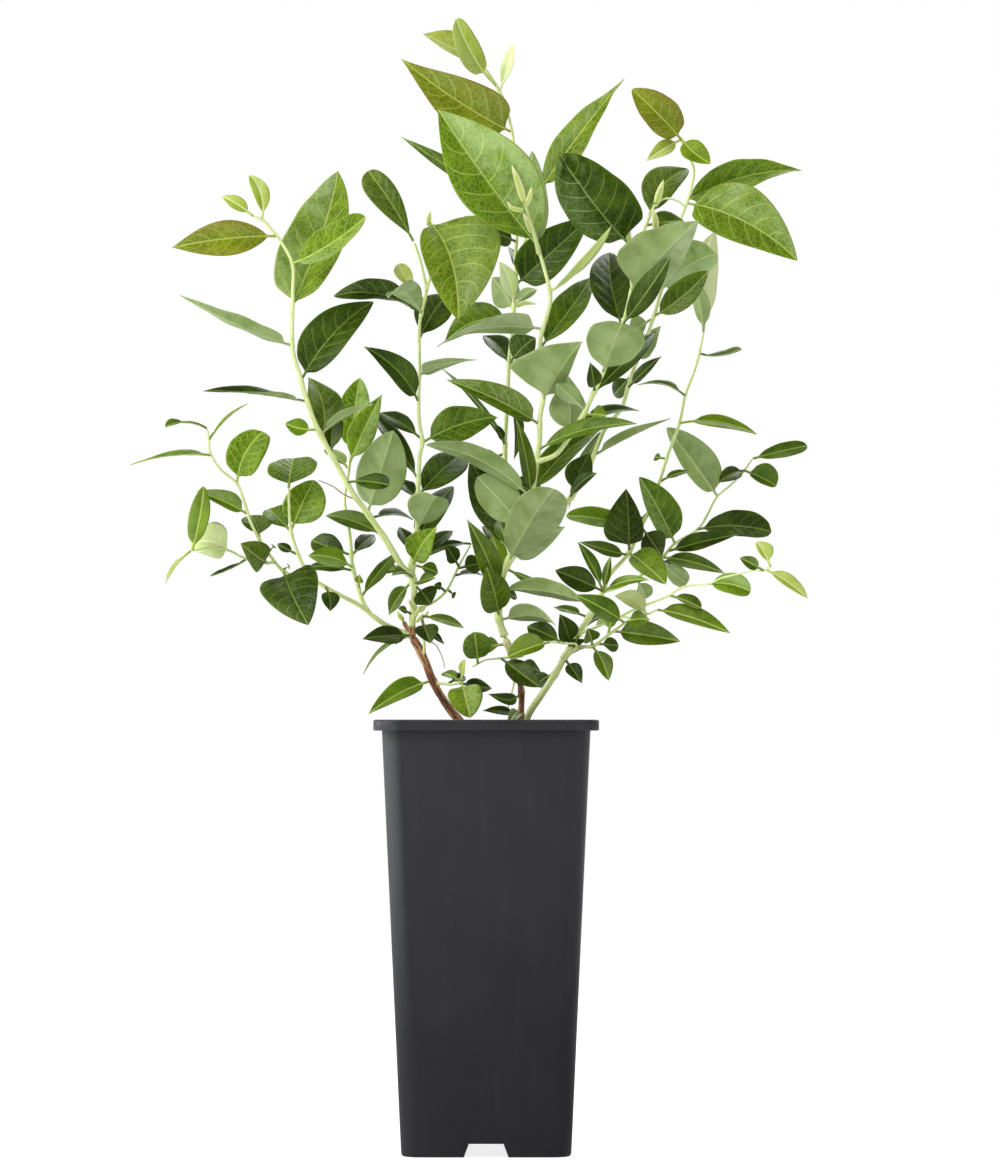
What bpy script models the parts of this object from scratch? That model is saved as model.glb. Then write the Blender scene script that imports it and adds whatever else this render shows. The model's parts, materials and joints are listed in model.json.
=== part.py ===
"""Potted blueberry bush: a square nursery pot, its potting mix and a leafy bush.

Metres, +Z up.  The origin lies on the floor under the middle of the pot, the
front of the bush faces -Y.  Stems and leaves are listed as they are seen from
the front, at a viewing distance of 2.5 m, together with their depth.
"""
import math

import bmesh
import bpy
import numpy as np
from mathutils import Matrix
from mathutils.bvhtree import BVHTree

MM = 0.001
GAP = 0.0003                     # fitting gap between neighbouring pieces

# Pot
POT_HEIGHT = 0.2119
POT_TOP = 0.1017                 # side of the body just under the rim
POT_BOTTOM = 0.0827
POT_CORNER = 0.0095
POT_WALL = 0.0016
RIM_WIDTH = 0.1094
RIM_HEIGHT = 0.0053
RIM_CORNER = 0.009
RIM_SKIRT = 0.0014
CHANNEL_HEIGHT = 0.0065          # drainage channels across the underside
CHANNEL_WIDTH = 0.0216           # at the floor
CHANNEL_ROOF = 0.0168            # at its top
DRAIN_RADIUS = 0.0035
DRAIN_SPACING = 0.026

# Potting mix
SOIL_TOP = 0.1996
SOCKET_DEPTH = 0.0095

# Stems and leaves
EYE = np.array([0.0067, -2.5, 0.2141])
TABLE_FLOOR = 3.9                # height in mm that the tables give to the floor
ROUTE_STEP = 0.012
TUBE_SIDES_STEP = 1              # bevel resolution of the stem tubes
LEAF_FOLD = math.radians(18)
LEAF_ARCH = 0.07
BLADE_RISE = 0.7                 # how fast the blade widens from its base
BLADE_FALL = 0.85                # how fast it narrows to its tip
LEAF_ROWS = (0.2, 0.42, 0.63, 0.83)
LEAF_THICKNESS = 0.0008
PETIOLE_LENGTH = 0.003
PETIOLE_HALF = 0.0006
LEAF_NODES = 45                  # the largest leaves are nodes of their own
CLEARANCE = 0.0009               # kept free on each side of a leaf

# Leaf colours
LEAF_COLOURS = {
    "bright": (0.19, 0.31, 0.02),
    "mid": (0.09, 0.19, 0.025),
    "dark": (0.04, 0.085, 0.012),
    "lime": (0.51, 0.66, 0.13),
    "pale": (0.6, 0.68, 0.43),
    "olive": (0.3, 0.3, 0.035),
    "young": (0.24, 0.2, 0.04),
    "under": (0.3, 0.43, 0.17),
}


class Stem:
    """One stem: its parent, its radii in mm and its route in the front view."""

    def __init__(self, parent, start_radius, end_radius, points):
        self.parent = parent
        self.radii = (start_radius * MM, end_radius * MM)
        self.points = points


class Leaf:
    """One leaf blade: where it sits, where it points, its width and its roll."""

    def __init__(self, stem, index, row):
        self.stem = stem
        self.index = index
        self.attach = (row[0], row[1])
        self.tip_seen = (row[2], row[3])
        self.depth = row[4]
        self.width = row[5] * MM
        self.roll = row[6]
        self.tone = row[7]
        span = np.array([row[2] - row[0], row[3] - row[1], row[4]])
        self.size = row[5] * float(np.sqrt((span ** 2).sum()))
        self.base = None
        self.tip = None
        self.radius = 0.0


# Front view x, depth y and height z of each stem's route, in mm
STEMS = {
    "cane_left": Stem(None, 2.9, 2.2, (
        (-12.5, 0, 203), (-12.6, 0, 214), (-17, -1, 219.5), (-22.5, -2, 227.5), (-26.5, -3, 235),
        (-30, -4, 244), (-33.5, -5, 251.5), (-37.2, -5, 257.2),)),
    "stub_left": Stem("cane_left", 1.7, 1.3, (
        (-37.2, -5, 257.2), (-39.5, -4, 261.5), (-41.2, -3.5, 264.6),)),
    "shoot_left_tall": Stem("cane_left", 1.75, 0.7, (
        (-37.2, -5, 257.2), (-36.4, -6, 266), (-35.6, -7, 278), (-36.6, -8, 290), (-34.4, -9, 308),
        (-33.7, -10, 328.6), (-33, -11, 345.4), (-31.6, -12, 352.6), (-33.2, -12, 363),
        (-33.6, -13, 373), (-33, -14, 386), (-33.3, -15, 405), (-32.6, -16, 414), (-29.8, -17, 427.5),
        (-31.4, -18, 437), (-33.3, -19, 444.6), (-36, -20, 452),)),
    "tip_left_tall": Stem("shoot_left_tall", 0.75, 0.5, (
        (-29.8, -17, 427.5), (-27.6, -18, 436), (-27.8, -20, 450), (-28.6, -22, 462),)),
    "leader_left": Stem("shoot_left_tall", 1.6, 0.7, (
        (-36.8, -8, 287), (-41.5, -11, 291), (-49.8, -17, 304.7), (-59.4, -24, 318.5),
        (-66.6, -30, 328.6), (-73.5, -35, 341), (-79.5, -40, 351.8), (-84.5, -45, 362),
        (-88.6, -49, 373), (-92, -53, 385), (-95.6, -57, 397.5), (-96, -60, 411.5), (-95.6, -62, 428),
        (-95.8, -63, 440.6), (-100.6, -65, 450.6), (-106.5, -67, 458.2), (-110.4, -68, 462.4),
        (-115.3, -69, 464.6),)),
    "shoot_left_low": Stem("cane_left", 1.35, 0.6, (
        (-37.2, -5, 257.2), (-45, -8, 260.5), (-52, -12, 264), (-62.9, -20, 272.2),
        (-73.4, -29, 277.8), (-84.1, -38, 284.2), (-89.5, -44, 290.6), (-93.2, -48, 298),
        (-96.4, -52, 308.9), (-97.4, -56, 320), (-97.6, -60, 330),)),
    "twig_left_outer": Stem("shoot_left_low", 0.95, 0.45, (
        (-84.1, -38, 284.2), (-92, -46, 286), (-100, -54, 288.8), (-107.8, -63, 298),
        (-112.3, -69, 305), (-116.8, -76, 314.5), (-119.4, -82, 323), (-123.2, -88, 332.3),
        (-131.5, -96, 339.5), (-136.3, -101, 347.5), (-137, -104, 354), (-138, -106, 359.6),)),
    "spur_left_outer": Stem("twig_left_outer", 0.7, 0.4, (
        (-104.5, -59, 293.6), (-110, -66, 293.2), (-120.6, -74, 296), (-127, -80, 299.2),
        (-136, -88, 300.5), (-146, -96, 299),)),
    "shoot_left_inner": Stem("shoot_left_low", 1.05, 0.6, (
        (-58, -16, 268.6), (-61.3, -17, 274.5), (-63.8, -16, 283), (-66.2, -14, 292), (-67, -12, 303),
        (-68.6, -9, 315), (-70, -6, 324), (-68.4, -3, 336), (-67, 0, 346.5),)),
    "spur_left_base": Stem("cane_left", 0.75, 0.6, (
        (-31.2, -4.3, 247), (-30.6, -8, 251), (-31, -9, 258), (-31.8, -9, 267),)),
    "spur_centre": Stem("shoot_left_tall", 0.7, 0.4, (
        (-36.1, -6.4, 270), (-31, -2, 271.5), (-25, 4, 274.5), (-20, 9, 279), (-16.6, 13, 285),
        (-13.4, 17, 292), (-7.5, 22, 302.5),)),
    "spur_left_foot": Stem("cane_left", 0.7, 0.45, (
        (-25.4, -2.7, 233), (-22, -6, 233.6), (-17, -10, 233.2), (-12, -14, 234.4),)),
    "cane_centre": Stem(None, 2.2, 1.8, (
        (16.2, 4, 203), (16.4, 4, 216), (17.4, 3, 224), (16.9, 2, 232), (15, 1, 240), (11.5, 0, 250),
        (9, -1, 257),)),
    "shoot_centre": Stem("cane_centre", 1.7, 0.75, (
        (9, -1, 257), (6.3, -3, 265), (5, -5, 277), (7.6, -7, 285.5), (10.6, -8, 293),
        (14.4, -10, 303), (18.6, -12, 316), (22.2, -14, 327.5), (24.6, -16, 341), (26.2, -18, 354),
        (26.3, -19, 364.4), (28, -20, 375), (28, -22, 388), (26.4, -24, 398), (27.4, -25, 407),
        (30.2, -26, 416), (31.6, -27, 425), (28.8, -29, 438), (24.8, -30, 451), (21, -31, 461),
        (18.6, -32, 470),)),
    "leader_back": Stem("shoot_centre", 1.25, 0.75, (
        (6.3, -3, 265), (7.6, 6, 285), (8.6, 17, 306), (9.5, 27, 330), (9.2, 32, 352), (10.3, 36, 372),
        (11.2, 39, 392), (13, 42, 412), (14, 44, 430), (14.6, 46, 450), (15.6, 47, 470),
        (14.6, 47, 490), (12.6, 46, 506), (9.4, 45, 519.5), (5.6, 44, 528), (-0.8, 42, 538),)),
    "spur_back": Stem("leader_back", 0.95, 0.6, (
        (14.2, 44.4, 434), (17.4, 47, 446), (21.6, 50, 462), (25.8, 52, 477),)),
    "leader_right": Stem("shoot_centre", 1.35, 0.6, (
        (10.6, -8, 293), (20, 2, 303.5), (31, 10, 314), (40.6, 16, 324), (50.1, 22, 338),
        (54.6, 26, 350.5), (59, 30, 360), (66.6, 34, 369.5), (69.8, 37, 379.4), (73.4, 39, 390.5),
        (78.6, 41, 403), (83, 42, 415.7), (86.2, 43, 427.5), (91, 43, 444), (96.2, 42, 463.5),
        (99.4, 40, 472), (102.6, 38, 486), (96.2, 36, 503.5),)),
    "shoot_right_inner": Stem("shoot_centre", 1.25, 0.6, (
        (24.9, -16.4, 343), (34, -21, 346.5), (41, -23, 355.5), (48, -24, 366.5), (53.2, -25, 377.5),
        (58.4, -26, 389), (63, -26, 400), (67.4, -27, 411.5), (70.4, -27, 423), (73.4, -27, 437),
        (77, -27, 454), (80.4, -27, 464), (83.6, -28, 471),)),
    "spur_right_inner": Stem("shoot_right_inner", 0.75, 0.6, (
        (71.9, -27, 430), (71, -23, 440), (70.4, -20, 451.5),)),
    "cane_right": Stem(None, 1.9, 1.4, (
        (19.4, 10, 203), (20, 10, 216.6), (27.5, 11, 228.5), (34.3, 12, 239), (39.2, 13, 247.5),
        (45.5, 14, 258), (50.6, 15, 266.5), (54.6, 17, 273), (57.6, 19, 279),)),
    "shoot_right_thin": Stem("cane_right", 1.1, 0.55, (
        (57.6, 19, 279), (61, 25, 287.5), (70.4, 35, 298), (76, 42, 310.4), (80.4, 48, 319),
        (85.4, 55, 333), (89.6, 60, 346.5), (95, 66, 361), (98.2, 72, 375.6), (102.4, 76, 387),
        (105.4, 80, 397.5), (108.2, 84, 413.5),)),
    "shoot_right_outer": Stem("cane_right", 0.95, 0.45, (
        (57.6, 19, 279), (65, 27, 281), (74, 36, 285.5), (86, 48, 294.6), (93, 56, 302.6),
        (103.6, 68, 309), (108.6, 78, 316), (113.6, 87, 325.4), (120.4, 95, 331.4), (126, 101, 337),
        (131.4, 107, 344.6),)),
    "twig_right_front": Stem("cane_right", 0.85, 0.6, (
        (39.2, 13, 247.5), (46, 12, 251.5), (52.4, 6, 252), (57.6, -2, 255.6), (63, -10, 259.6),
        (68.6, -17, 263.8),)),
    "shoot_right_low": Stem("cane_right", 0.7, 0.35, (
        (45.5, 14, 258), (53, 8, 261), (63, 0, 265.2), (74, -9, 270.6), (83, -17, 274),
        (90.4, -23, 277.2), (96.4, -29, 281), (103, -35, 282.3), (110, -41, 282.8), (116, -47, 285.6),
        (124, -55, 287.6), (131, -62, 289.2), (137, -68, 289.3), (140.6, -71, 291.4),)),
    "spur_right_low": Stem("shoot_right_low", 0.5, 0.4, (
        (66, -2.6, 266.7), (74, -8, 266), (80, -12, 268), (84.6, -15, 270.2),)),
    "spur_right_foot": Stem("cane_right", 0.6, 0.45, (
        (36.6, 12.4, 243), (44.6, 1, 252.2), (38, -7, 253.4), (31.6, -13, 254.2),)),
    "spur_centre_foot": Stem("cane_centre", 0.6, 0.35, (
        (13, 0.5, 246), (18, -5, 247.4), (10, -12, 246.4), (4, -16, 245.8), (-1, -18, 245),
        (-7.4, -19, 241.6),)),
}

# Stems that have grown together into one shoot, main stem first
SHOOTS = {
    "cane_left": ("cane_left", "stub_left", "shoot_left_tall", "tip_left_tall", "spur_centre",
                  "spur_left_foot", "spur_left_base"),
    "leader_left": ("leader_left",),
    "shoot_left_low": ("shoot_left_low",),
    "twig_left_outer": ("twig_left_outer", "spur_left_outer"),
    "shoot_left_inner": ("shoot_left_inner",),
    "cane_centre": ("cane_centre", "shoot_centre", "spur_centre_foot"),
    "leader_back": ("leader_back", "spur_back"),
    "leader_right": ("leader_right",),
    "shoot_right_inner": ("shoot_right_inner", "spur_right_inner"),
    "cane_right": ("cane_right", "shoot_right_thin", "spur_right_foot"),
    "shoot_right_outer": ("shoot_right_outer",),
    "twig_right_front": ("twig_right_front",),
    "shoot_right_low": ("shoot_right_low", "spur_right_low"),
}

# Attachment x, z, tip x, z, depth run, width, roll (mm, degrees) and tone of each leaf
LEAVES = {
    "cane_left": (
        (-37.4, 257.4, -61.5, 255.3, -8, 11, 22, "dark"),
        (-37.2, 257, -60.7, 238.3, 10, 8, 55, "mid"),
        (-37.2, 257.1, -44.8, 253, 6, 4, 40, "dark"),
        (-26.8, 235, -58.2, 218.5, -10, 12, 22, "bright"),
    ),
    "shoot_left_tall": (
        (-37, 291, -24, 311, -14, 16, 15, "bright"),
        (-33.8, 373, -60.5, 400, -10, 13, 20, "dark"),
        (-33.2, 385.6, -5, 393.5, -12, 13, 125, "under"),
        (-27, 415, -49.5, 426.8, -16, 15, 140, "under"),
        (-32.8, 417, -75.5, 425, 6, 17, 38, "dark"),
        (-31, 423, -43.3, 441, 6, 9, 20, "lime"),
        (-36, 452, -58.5, 487, 8, 18, 15, "mid"),
        (-33.4, 403.5, -18, 426, 14, 20, 15, "dark"),
        (-31.5, 354.5, -53, 367.3, 14, 10, 30, "dark"),
        (-31.6, 352.8, 5.5, 365, 10, 20, 18, "mid"),
        (-33.5, 326, -12, 346.5, 12, 17, 22, "dark"),
        (-33.8, 324, -42.8, 335, 10, 9, 30, "dark"),
        (-33.4, 334, -62, 374, 24, 11, 20, "dark"),
        (-34.3, 309, -25, 326, -16, 21, 160, "under"),
        (-35.2, 302, -16.5, 331, 16, 14, 20, "dark"),
        (-36.2, 296, -43, 310.5, 12, 8, 25, "dark"),
        (-36.3, 293, -16.5, 309, 16, 9, 28, "dark"),
        (-36.3, 292, -24, 288, -10, 8, 15, "mid"),
        (-36, 285.4, -47, 286.3, -14, 8, 55, "mid"),
        (-35.9, 282.6, -25, 285.5, -10, 9, 50, "mid"),
        (-36, 283, -27.5, 272.5, 12, 15, 20, "dark"),
        (-36, 284.6, -48.5, 267.5, 6, 10, 35, "mid"),
        (-36.4, 267, -43.6, 270.6, -6, 5, 40, "dark"),
    ),
    "tip_left_tall": (
        (-28.6, 462, -14, 416, -34, 36, 8, "bright"),
    ),
    "leader_left": (
        (-41, 287, -54, 288.5, -6, 7, 35, "bright"),
        (-53, 305, -79.5, 316.5, -12, 12, 35, "mid"),
        (-57, 318, -46, 358.5, 8, 25, 175, "under"),
        (-70, 332.5, -48, 331.5, -16, 10, 30, "dark"),
        (-58, 315, -36, 315.5, 14, 10, 62, "dark"),
        (-80, 355, -88, 384.8, 14, 18, 20, "mid"),
        (-82, 357, -56, 371.5, -14, 12, 118, "under"),
        (-89.5, 372, -140, 378, -10, 13, 72, "dark"),
        (-86, 358, -99.5, 362, 10, 10, 25, "bright"),
        (-76, 346.5, -73, 368, 14, 14, 25, "dark"),
        (-91.8, 383, -56, 423, 12, 22, 12, "dark"),
        (-96, 400, -151.3, 425.5, -12, 17, 118, "under"),
        (-95.6, 420, -73.5, 487, 16, 33, 14, "bright"),
        (-95.7, 441.5, -58.7, 463.5, -14, 18, 24, "bright"),
        (-104, 455, -155.6, 449, -12, 18, 10, "young"),
        (-115, 464.6, -131, 475, 4, 8, 20, "lime"),
        (-111, 463, -117, 485, 6, 9, 20, "lime"),
    ),
    "shoot_left_low": (
        (-97.6, 330, -95.2, 344.6, 22, 24, 10, "mid"),
        (-96.4, 309, -85, 334, 8, 20, 12, "bright"),
        (-96.2, 308, -107.6, 320, 12, 15, 15, "mid"),
        (-92.8, 297, -103.3, 302.5, -4, 5, 20, "dark"),
        (-79.6, 281.5, -77, 269.5, -8, 10, 20, "dark"),
    ),
    "twig_left_outer": (
        (-100, 288.6, -88, 262.5, -26, 31, 8, "dark"),
        (-112, 304.5, -116.4, 316.5, 10, 17, 25, "mid"),
        (-107.8, 298, -104.5, 301.5, -3, 4, 30, "dark"),
        (-117.6, 316.8, -143.2, 328.4, -8, 10, 30, "bright"),
        (-123.2, 332.6, -110.2, 357.8, 8, 18, 8, "bright"),
        (-137, 354, -118, 371.8, -8, 9, 68, "olive"),
        (-138, 359.6, -158.6, 360.2, -8, 9, 70, "mid"),
        (-135.6, 346.5, -176, 341.5, -10, 10, 72, "bright"),
        (-101, 289, -97, 291.5, 4, 4, 20, "mid"),
    ),
    "spur_left_outer": (
        (-108.5, 293.2, -121.2, 302.6, -8, 15, 15, "mid"),
        (-118, 295.3, -136.3, 286.5, -6, 9, 68, "dark"),
        (-127, 299.3, -146.5, 303, -8, 18, 12, "pale"),
        (-145, 299.2, -139.6, 331, 8, 11, 14, "lime"),
        (-146, 299, -158.5, 283, -8, 8, 62, "lime"),
    ),
    "shoot_left_inner": (
        (-61.4, 276, -44, 298, 10, 13, 32, "mid"),
        (-62.5, 280.5, -62.5, 287.5, -6, 5, 10, "bright"),
        (-66, 290.8, -87.3, 297, -12, 11, 22, "bright"),
        (-66.6, 296.5, -86.5, 304.4, 12, 13, 20, "dark"),
        (-66.6, 297, -55.2, 307, 12, 9, 20, "dark"),
        (-66, 289.4, -88.6, 290.6, 6, 8, 40, "dark"),
        (-67, 346.5, -62.5, 384.5, 14, 17, 10, "bright"),
        (-67.3, 342.5, -52, 376.3, -8, 15, 18, "bright"),
        (-67.6, 339, -80, 349, 8, 9, 45, "bright"),
    ),
    "spur_left_base": (
        (-31.8, 266.8, -11.2, 261, -6, 8, 50, "mid"),
        (-31.6, 264.8, -27.6, 253.5, -10, 13, 15, "dark"),
        (-31.4, 262, -21, 253, 8, 5, 40, "dark"),
    ),
    "spur_centre": (
        (-13.6, 291.6, -20, 301.6, -6, 9, 20, "dark"),
        (-14.2, 290.4, -2, 293, 8, 11, 20, "dark"),
        (-7.6, 302.4, -30.5, 296.4, -10, 8, 50, "dark"),
        (-15.8, 286.6, -1, 287.6, 6, 6, 60, "dark"),
        (-20, 279, -25.6, 282.6, -4, 5, 40, "dark"),
        (-19, 280, -15.8, 276, 4, 4, 30, "dark"),
    ),
    "spur_left_foot": (
        (-12.4, 234.2, -8, 216.8, -12, 18, 5, "bright"),
        (-14, 233.8, 2.6, 231, 8, 8, 30, "dark"),
        (-12, 234.4, -10.4, 245.6, -6, 7, 60, "lime"),
        (-13, 234, -21.5, 239, 10, 8, 45, "mid"),
        (-19, 233.4, -10, 236.6, 12, 6, 20, "dark"),
    ),
    "cane_centre": (
        (10.6, 253, -3.4, 251, 10, 9, 25, "mid"),
        (16.6, 229.5, 1, 228.4, -14, 7, 20, "dark"),
        (16.4, 218.5, -1.6, 220.5, -12, 6, 35, "dark"),
        (16.4, 217.6, 11, 213.4, -34, 7, 20, "mid"),
        (14, 243, 27, 239, 12, 8, 40, "dark"),
    ),
    "shoot_centre": (
        (6.3, 265, 34.2, 262, -26, 14, 128, "under"),
        (6.2, 266.4, 0, 291, -8, 16, 20, "mid"),
        (5, 279, 15, 275.8, 8, 7, 30, "dark"),
        (5.6, 280, 48, 273.5, -20, 14, 132, "under"),
        (5.4, 280.5, -9.6, 314.6, -16, 13, 20, "mid"),
        (7.6, 285.5, 3, 306.8, 10, 10, 22, "bright"),
        (10.8, 293.5, 33, 329.6, -30, 27, 166, "under"),
        (11.2, 294, 38.4, 311, 10, 17, 160, "under"),
        (17.2, 311, -4.4, 335.5, 6, 21, 165, "under"),
        (12, 297, 6, 316, 8, 9, 20, "mid"),
        (9.8, 290.5, 43, 277.5, 8, 10, 45, "mid"),
        (22, 326.5, 14.5, 364, 8, 9, 22, "mid"),
        (22.3, 328, 57, 359.5, 14, 17, 15, "mid"),
        (21.8, 326, -30, 351.5, -14, 18, 138, "under"),
        (25.7, 349, 74.5, 361.5, -8, 14, 50, "mid"),
        (26.3, 361.4, -19.5, 383.5, -12, 17, 18, "mid"),
        (28, 373, 47.4, 402.6, -24, 29, 165, "under"),
        (26.6, 399, 52, 434.4, 16, 18, 18, "mid"),
        (27.6, 408.5, -24.5, 400, -20, 20, 128, "under"),
        (31.4, 427, 61.6, 459.5, -12, 9, 118, "lime"),
        (25, 450.5, -24, 517.5, -8, 40, 10, "bright"),
        (25.4, 449, 22.5, 497, 10, 18, 160, "under"),
    ),
    "leader_back": (
        (8.4, 303, -8, 345, 18, 16, 15, "dark"),
        (8, 296, -2, 312, 16, 8, 20, "dark"),
        (9.2, 333, 28, 322, 18, 16, 30, "dark"),
        (10.6, 379, 14.8, 345, -8, 8, 50, "dark"),
        (9.1, 351, 4, 362, -4, 5, 30, "dark"),
        (11.2, 391, -1.5, 406.5, 6, 14, 20, "dark"),
        (11.2, 391, 24, 404.5, 10, 16, 22, "dark"),
        (13.2, 414, -20.6, 402, 12, 17, 25, "mid"),
        (13.4, 417, 2.6, 434.4, 10, 16, 165, "under"),
        (14, 430, 51.5, 464.6, 12, 21, 12, "dark"),
        (13.6, 421, 6, 442.4, 3, 10, 20, "pale"),
        (13.5, 420, 25, 428.6, -6, 7, 150, "under"),
        (14.7, 452, 1, 457, -12, 13, 20, "dark"),
        (14, 436, 10.8, 449.4, 8, 6, 30, "dark"),
        (15.5, 468, -42.2, 504, 8, 15, 35, "mid"),
        (12.8, 506, -42.6, 543, -14, 26, 12, "young"),
        (-0.8, 538, -31.6, 555, -6, 20, 14, "lime"),
        (6.6, 526.4, 13.2, 550, 6, 7, 25, "pale"),
        (4.6, 529.5, -15, 562.6, 10, 13, 20, "lime"),
        (9.2, 352, -23, 390, 22, 7, 60, "under"),
        (9, 347, -4.6, 340, 12, 12, 20, "dark"),
    ),
    "spur_back": (
        (25.8, 477, 68, 532.6, 8, 18, 30, "bright"),
    ),
    "leader_right": (
        (53.4, 346, 90.8, 364.5, 6, 13, 112, "under"),
        (42, 326, 51, 347.4, 14, 15, 15, "dark"),
        (41.6, 325.4, 53.8, 337.6, -8, 8, 45, "dark"),
        (72, 386.8, 62.8, 376, -8, 10, 20, "dark"),
        (69.8, 379.4, 86.6, 395, -10, 8, 40, "dark"),
        (74, 391.6, 85.4, 410, 8, 10, 150, "under"),
        (82.6, 414, 70.6, 407.5, -8, 12, 150, "under"),
        (82.8, 415, 109.6, 437.4, -12, 16, 15, "mid"),
        (86.2, 427.5, 113.4, 446, 14, 20, 150, "under"),
        (99, 471, 153.8, 442.6, -16, 28, 12, "bright"),
        (99.6, 472.6, 155.8, 487.2, 20, 22, 30, "bright"),
        (96.6, 502, 72, 527.6, -8, 18, 8, "young"),
        (96.4, 503, 79, 492.4, -4, 9, 20, "lime"),
        (96.6, 503.4, 110.6, 490.6, -8, 13, 18, "olive"),
        (60.6, 362, 39, 320.6, -10, 10, 60, "mid"),
    ),
    "shoot_right_inner": (
        (41, 355.5, 41, 385.5, -10, 20, 165, "under"),
        (49, 368, 34.6, 381.5, -12, 11, 150, "under"),
        (48.4, 367, 59.4, 365.8, 12, 10, 30, "bright"),
        (57.2, 386.6, 67, 411.4, -20, 29, 170, "under"),
        (53.3, 377.6, 51, 392.5, 10, 9, 20, "dark"),
        (53.1, 377, 84, 407.6, 10, 12, 25, "dark"),
        (46.4, 364, 75.6, 369.6, 14, 9, 50, "dark"),
        (67.4, 411.5, 90.6, 444.6, 14, 13, 20, "dark"),
        (67.2, 410.6, 61, 446.5, 16, 22, 12, "dark"),
        (71.4, 427.5, 105, 462.4, -20, 27, 168, "under"),
        (80.4, 464, 99.8, 488, 8, 17, 20, "mid"),
        (79, 460, 97.4, 462, 12, 13, 30, "mid"),
    ),
    "spur_right_inner": (
        (70.4, 451, 38, 495.5, -10, 32, 8, "dark"),
    ),
    "cane_right": (
        (57.6, 279, 34.4, 289.6, -8, 13, 15, "dark"),
        (57.6, 279, 45, 303.4, 10, 8, 30, "mid"),
        (57.4, 278.6, 80, 285, -14, 7, 40, "bright"),
        (57.6, 279, 61.4, 296.5, -6, 5, 20, "mid"),
        (46.4, 259.4, 61.6, 268.2, 14, 9, 62, "dark"),
        (45.5, 258, 43.4, 251.2, -14, 10, 20, "dark"),
        (41, 251, 36, 268, -10, 12, 20, "dark"),
        (50.4, 266.2, 33.2, 271, 6, 8, 55, "mid"),
        (38, 246, 47.2, 234, -8, 9, 20, "dark"),
        (33.6, 238, 25.4, 232.6, 8, 8, 20, "dark"),
    ),
    "shoot_right_thin": (
        (108.2, 413.5, 113, 457, 14, 18, 168, "pale"),
        (107, 407.5, 100.4, 436, -10, 10, 150, "under"),
        (105.2, 396.4, 125.8, 399, 8, 8, 65, "mid"),
        (98.2, 375.6, 74.4, 381, -8, 8, 62, "mid"),
        (95.6, 362.4, 133.6, 356.6, -14, 10, 50, "olive"),
        (89, 344.6, 82.6, 344.8, 6, 5, 20, "mid"),
        (85.3, 333, 101.4, 338.6, 8, 6, 50, "mid"),
        (80, 318.4, 76, 311.6, 6, 4, 30, "dark"),
        (70.2, 298, 69, 329.8, 14, 19, 10, "dark"),
        (69.6, 296.6, 46, 303.4, -16, 9, 35, "mid"),
        (70.4, 298, 88.6, 282.6, -28, 14, 12, "bright"),
        (76.2, 311, 87, 296, -6, 15, 15, "dark"),
        (70.6, 312, 39.3, 316.3, -14, 13, 35, "bright"),
    ),
    "shoot_right_outer": (
        (93, 302.6, 75.4, 335.6, -10, 17, 15, "mid"),
        (90, 299, 123.4, 307.6, -10, 11, 30, "dark"),
        (104, 309.6, 140.6, 308.4, -6, 15, 22, "dark"),
        (113.8, 326, 89, 360, 10, 24, 165, "under"),
        (87, 296, 118, 287.4, -18, 9, 20, "mid"),
        (86, 294.6, 99, 283, -12, 10, 165, "under"),
        (85, 293.8, 97.8, 288, 10, 6, 30, "dark"),
        (74, 285.5, 78.6, 275.5, -12, 10, 160, "under"),
        (131.2, 344.4, 158.4, 351, 8, 9, 20, "mid"),
        (127, 338.6, 143, 331, -4, 13, 25, "mid"),
        (127, 338.5, 114.8, 333, -8, 9, 20, "dark"),
    ),
    "twig_right_front": (
        (68.4, 263.6, 44, 277.6, -8, 12, 18, "mid"),
        (68.6, 263.8, 80.6, 265, -10, 9, 20, "bright"),
        (62.8, 259.4, 95.6, 254.4, -14, 13, 12, "mid"),
        (60, 257.4, 63, 268, 10, 7, 30, "bright"),
        (52, 252, 49.6, 261, -10, 10, 15, "mid"),
        (54, 253.2, 65.2, 252, 8, 8, 22, "dark"),
        (52, 252, 60.4, 235.4, -12, 10, 20, "mid"),
        (50, 251.9, 36.4, 246.4, 20, 7, 55, "mid"),
    ),
    "shoot_right_low": (
        (90.4, 277.2, 106, 270.6, 6, 7, 25, "mid"),
        (110, 282.8, 130.4, 279, -8, 12, 20, "bright"),
        (137, 289.3, 125, 295.6, -6, 7, 20, "mid"),
        (140.4, 291.4, 133.4, 303.6, 6, 8, 20, "lime"),
        (138, 289.8, 158.6, 275.6, -6, 7, 25, "lime"),
        (63, 265.2, 54.4, 263, 8, 6, 150, "under"),
    ),
    "spur_right_low": (
        (84.4, 270.2, 120.2, 258.4, -12, 10, 22, "bright"),
        (79, 267.6, 62.4, 278.4, -14, 10, 150, "pale"),
    ),
    "spur_right_foot": (
        (31.8, 254.2, 10.4, 246.6, -8, 11, 22, "bright"),
        (38, 253.4, 20, 262, 12, 11, 20, "dark"),
    ),
    "spur_centre_foot": (
        (-4.6, 244, -6, 259, -8, 15, 10, "mid"),
        (7, 246.2, 26.4, 231.6, -10, 13, 20, "dark"),
    ),
}


def in_space(x, y, z):
    """Point seen at x, z (mm) in the front view that lies at depth y (mm)."""
    front = np.array([x * MM, 0.0, (z - TABLE_FLOOR) * MM])
    return EYE + (front - EYE) * (1.0 + y * MM / -EYE[1])


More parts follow.
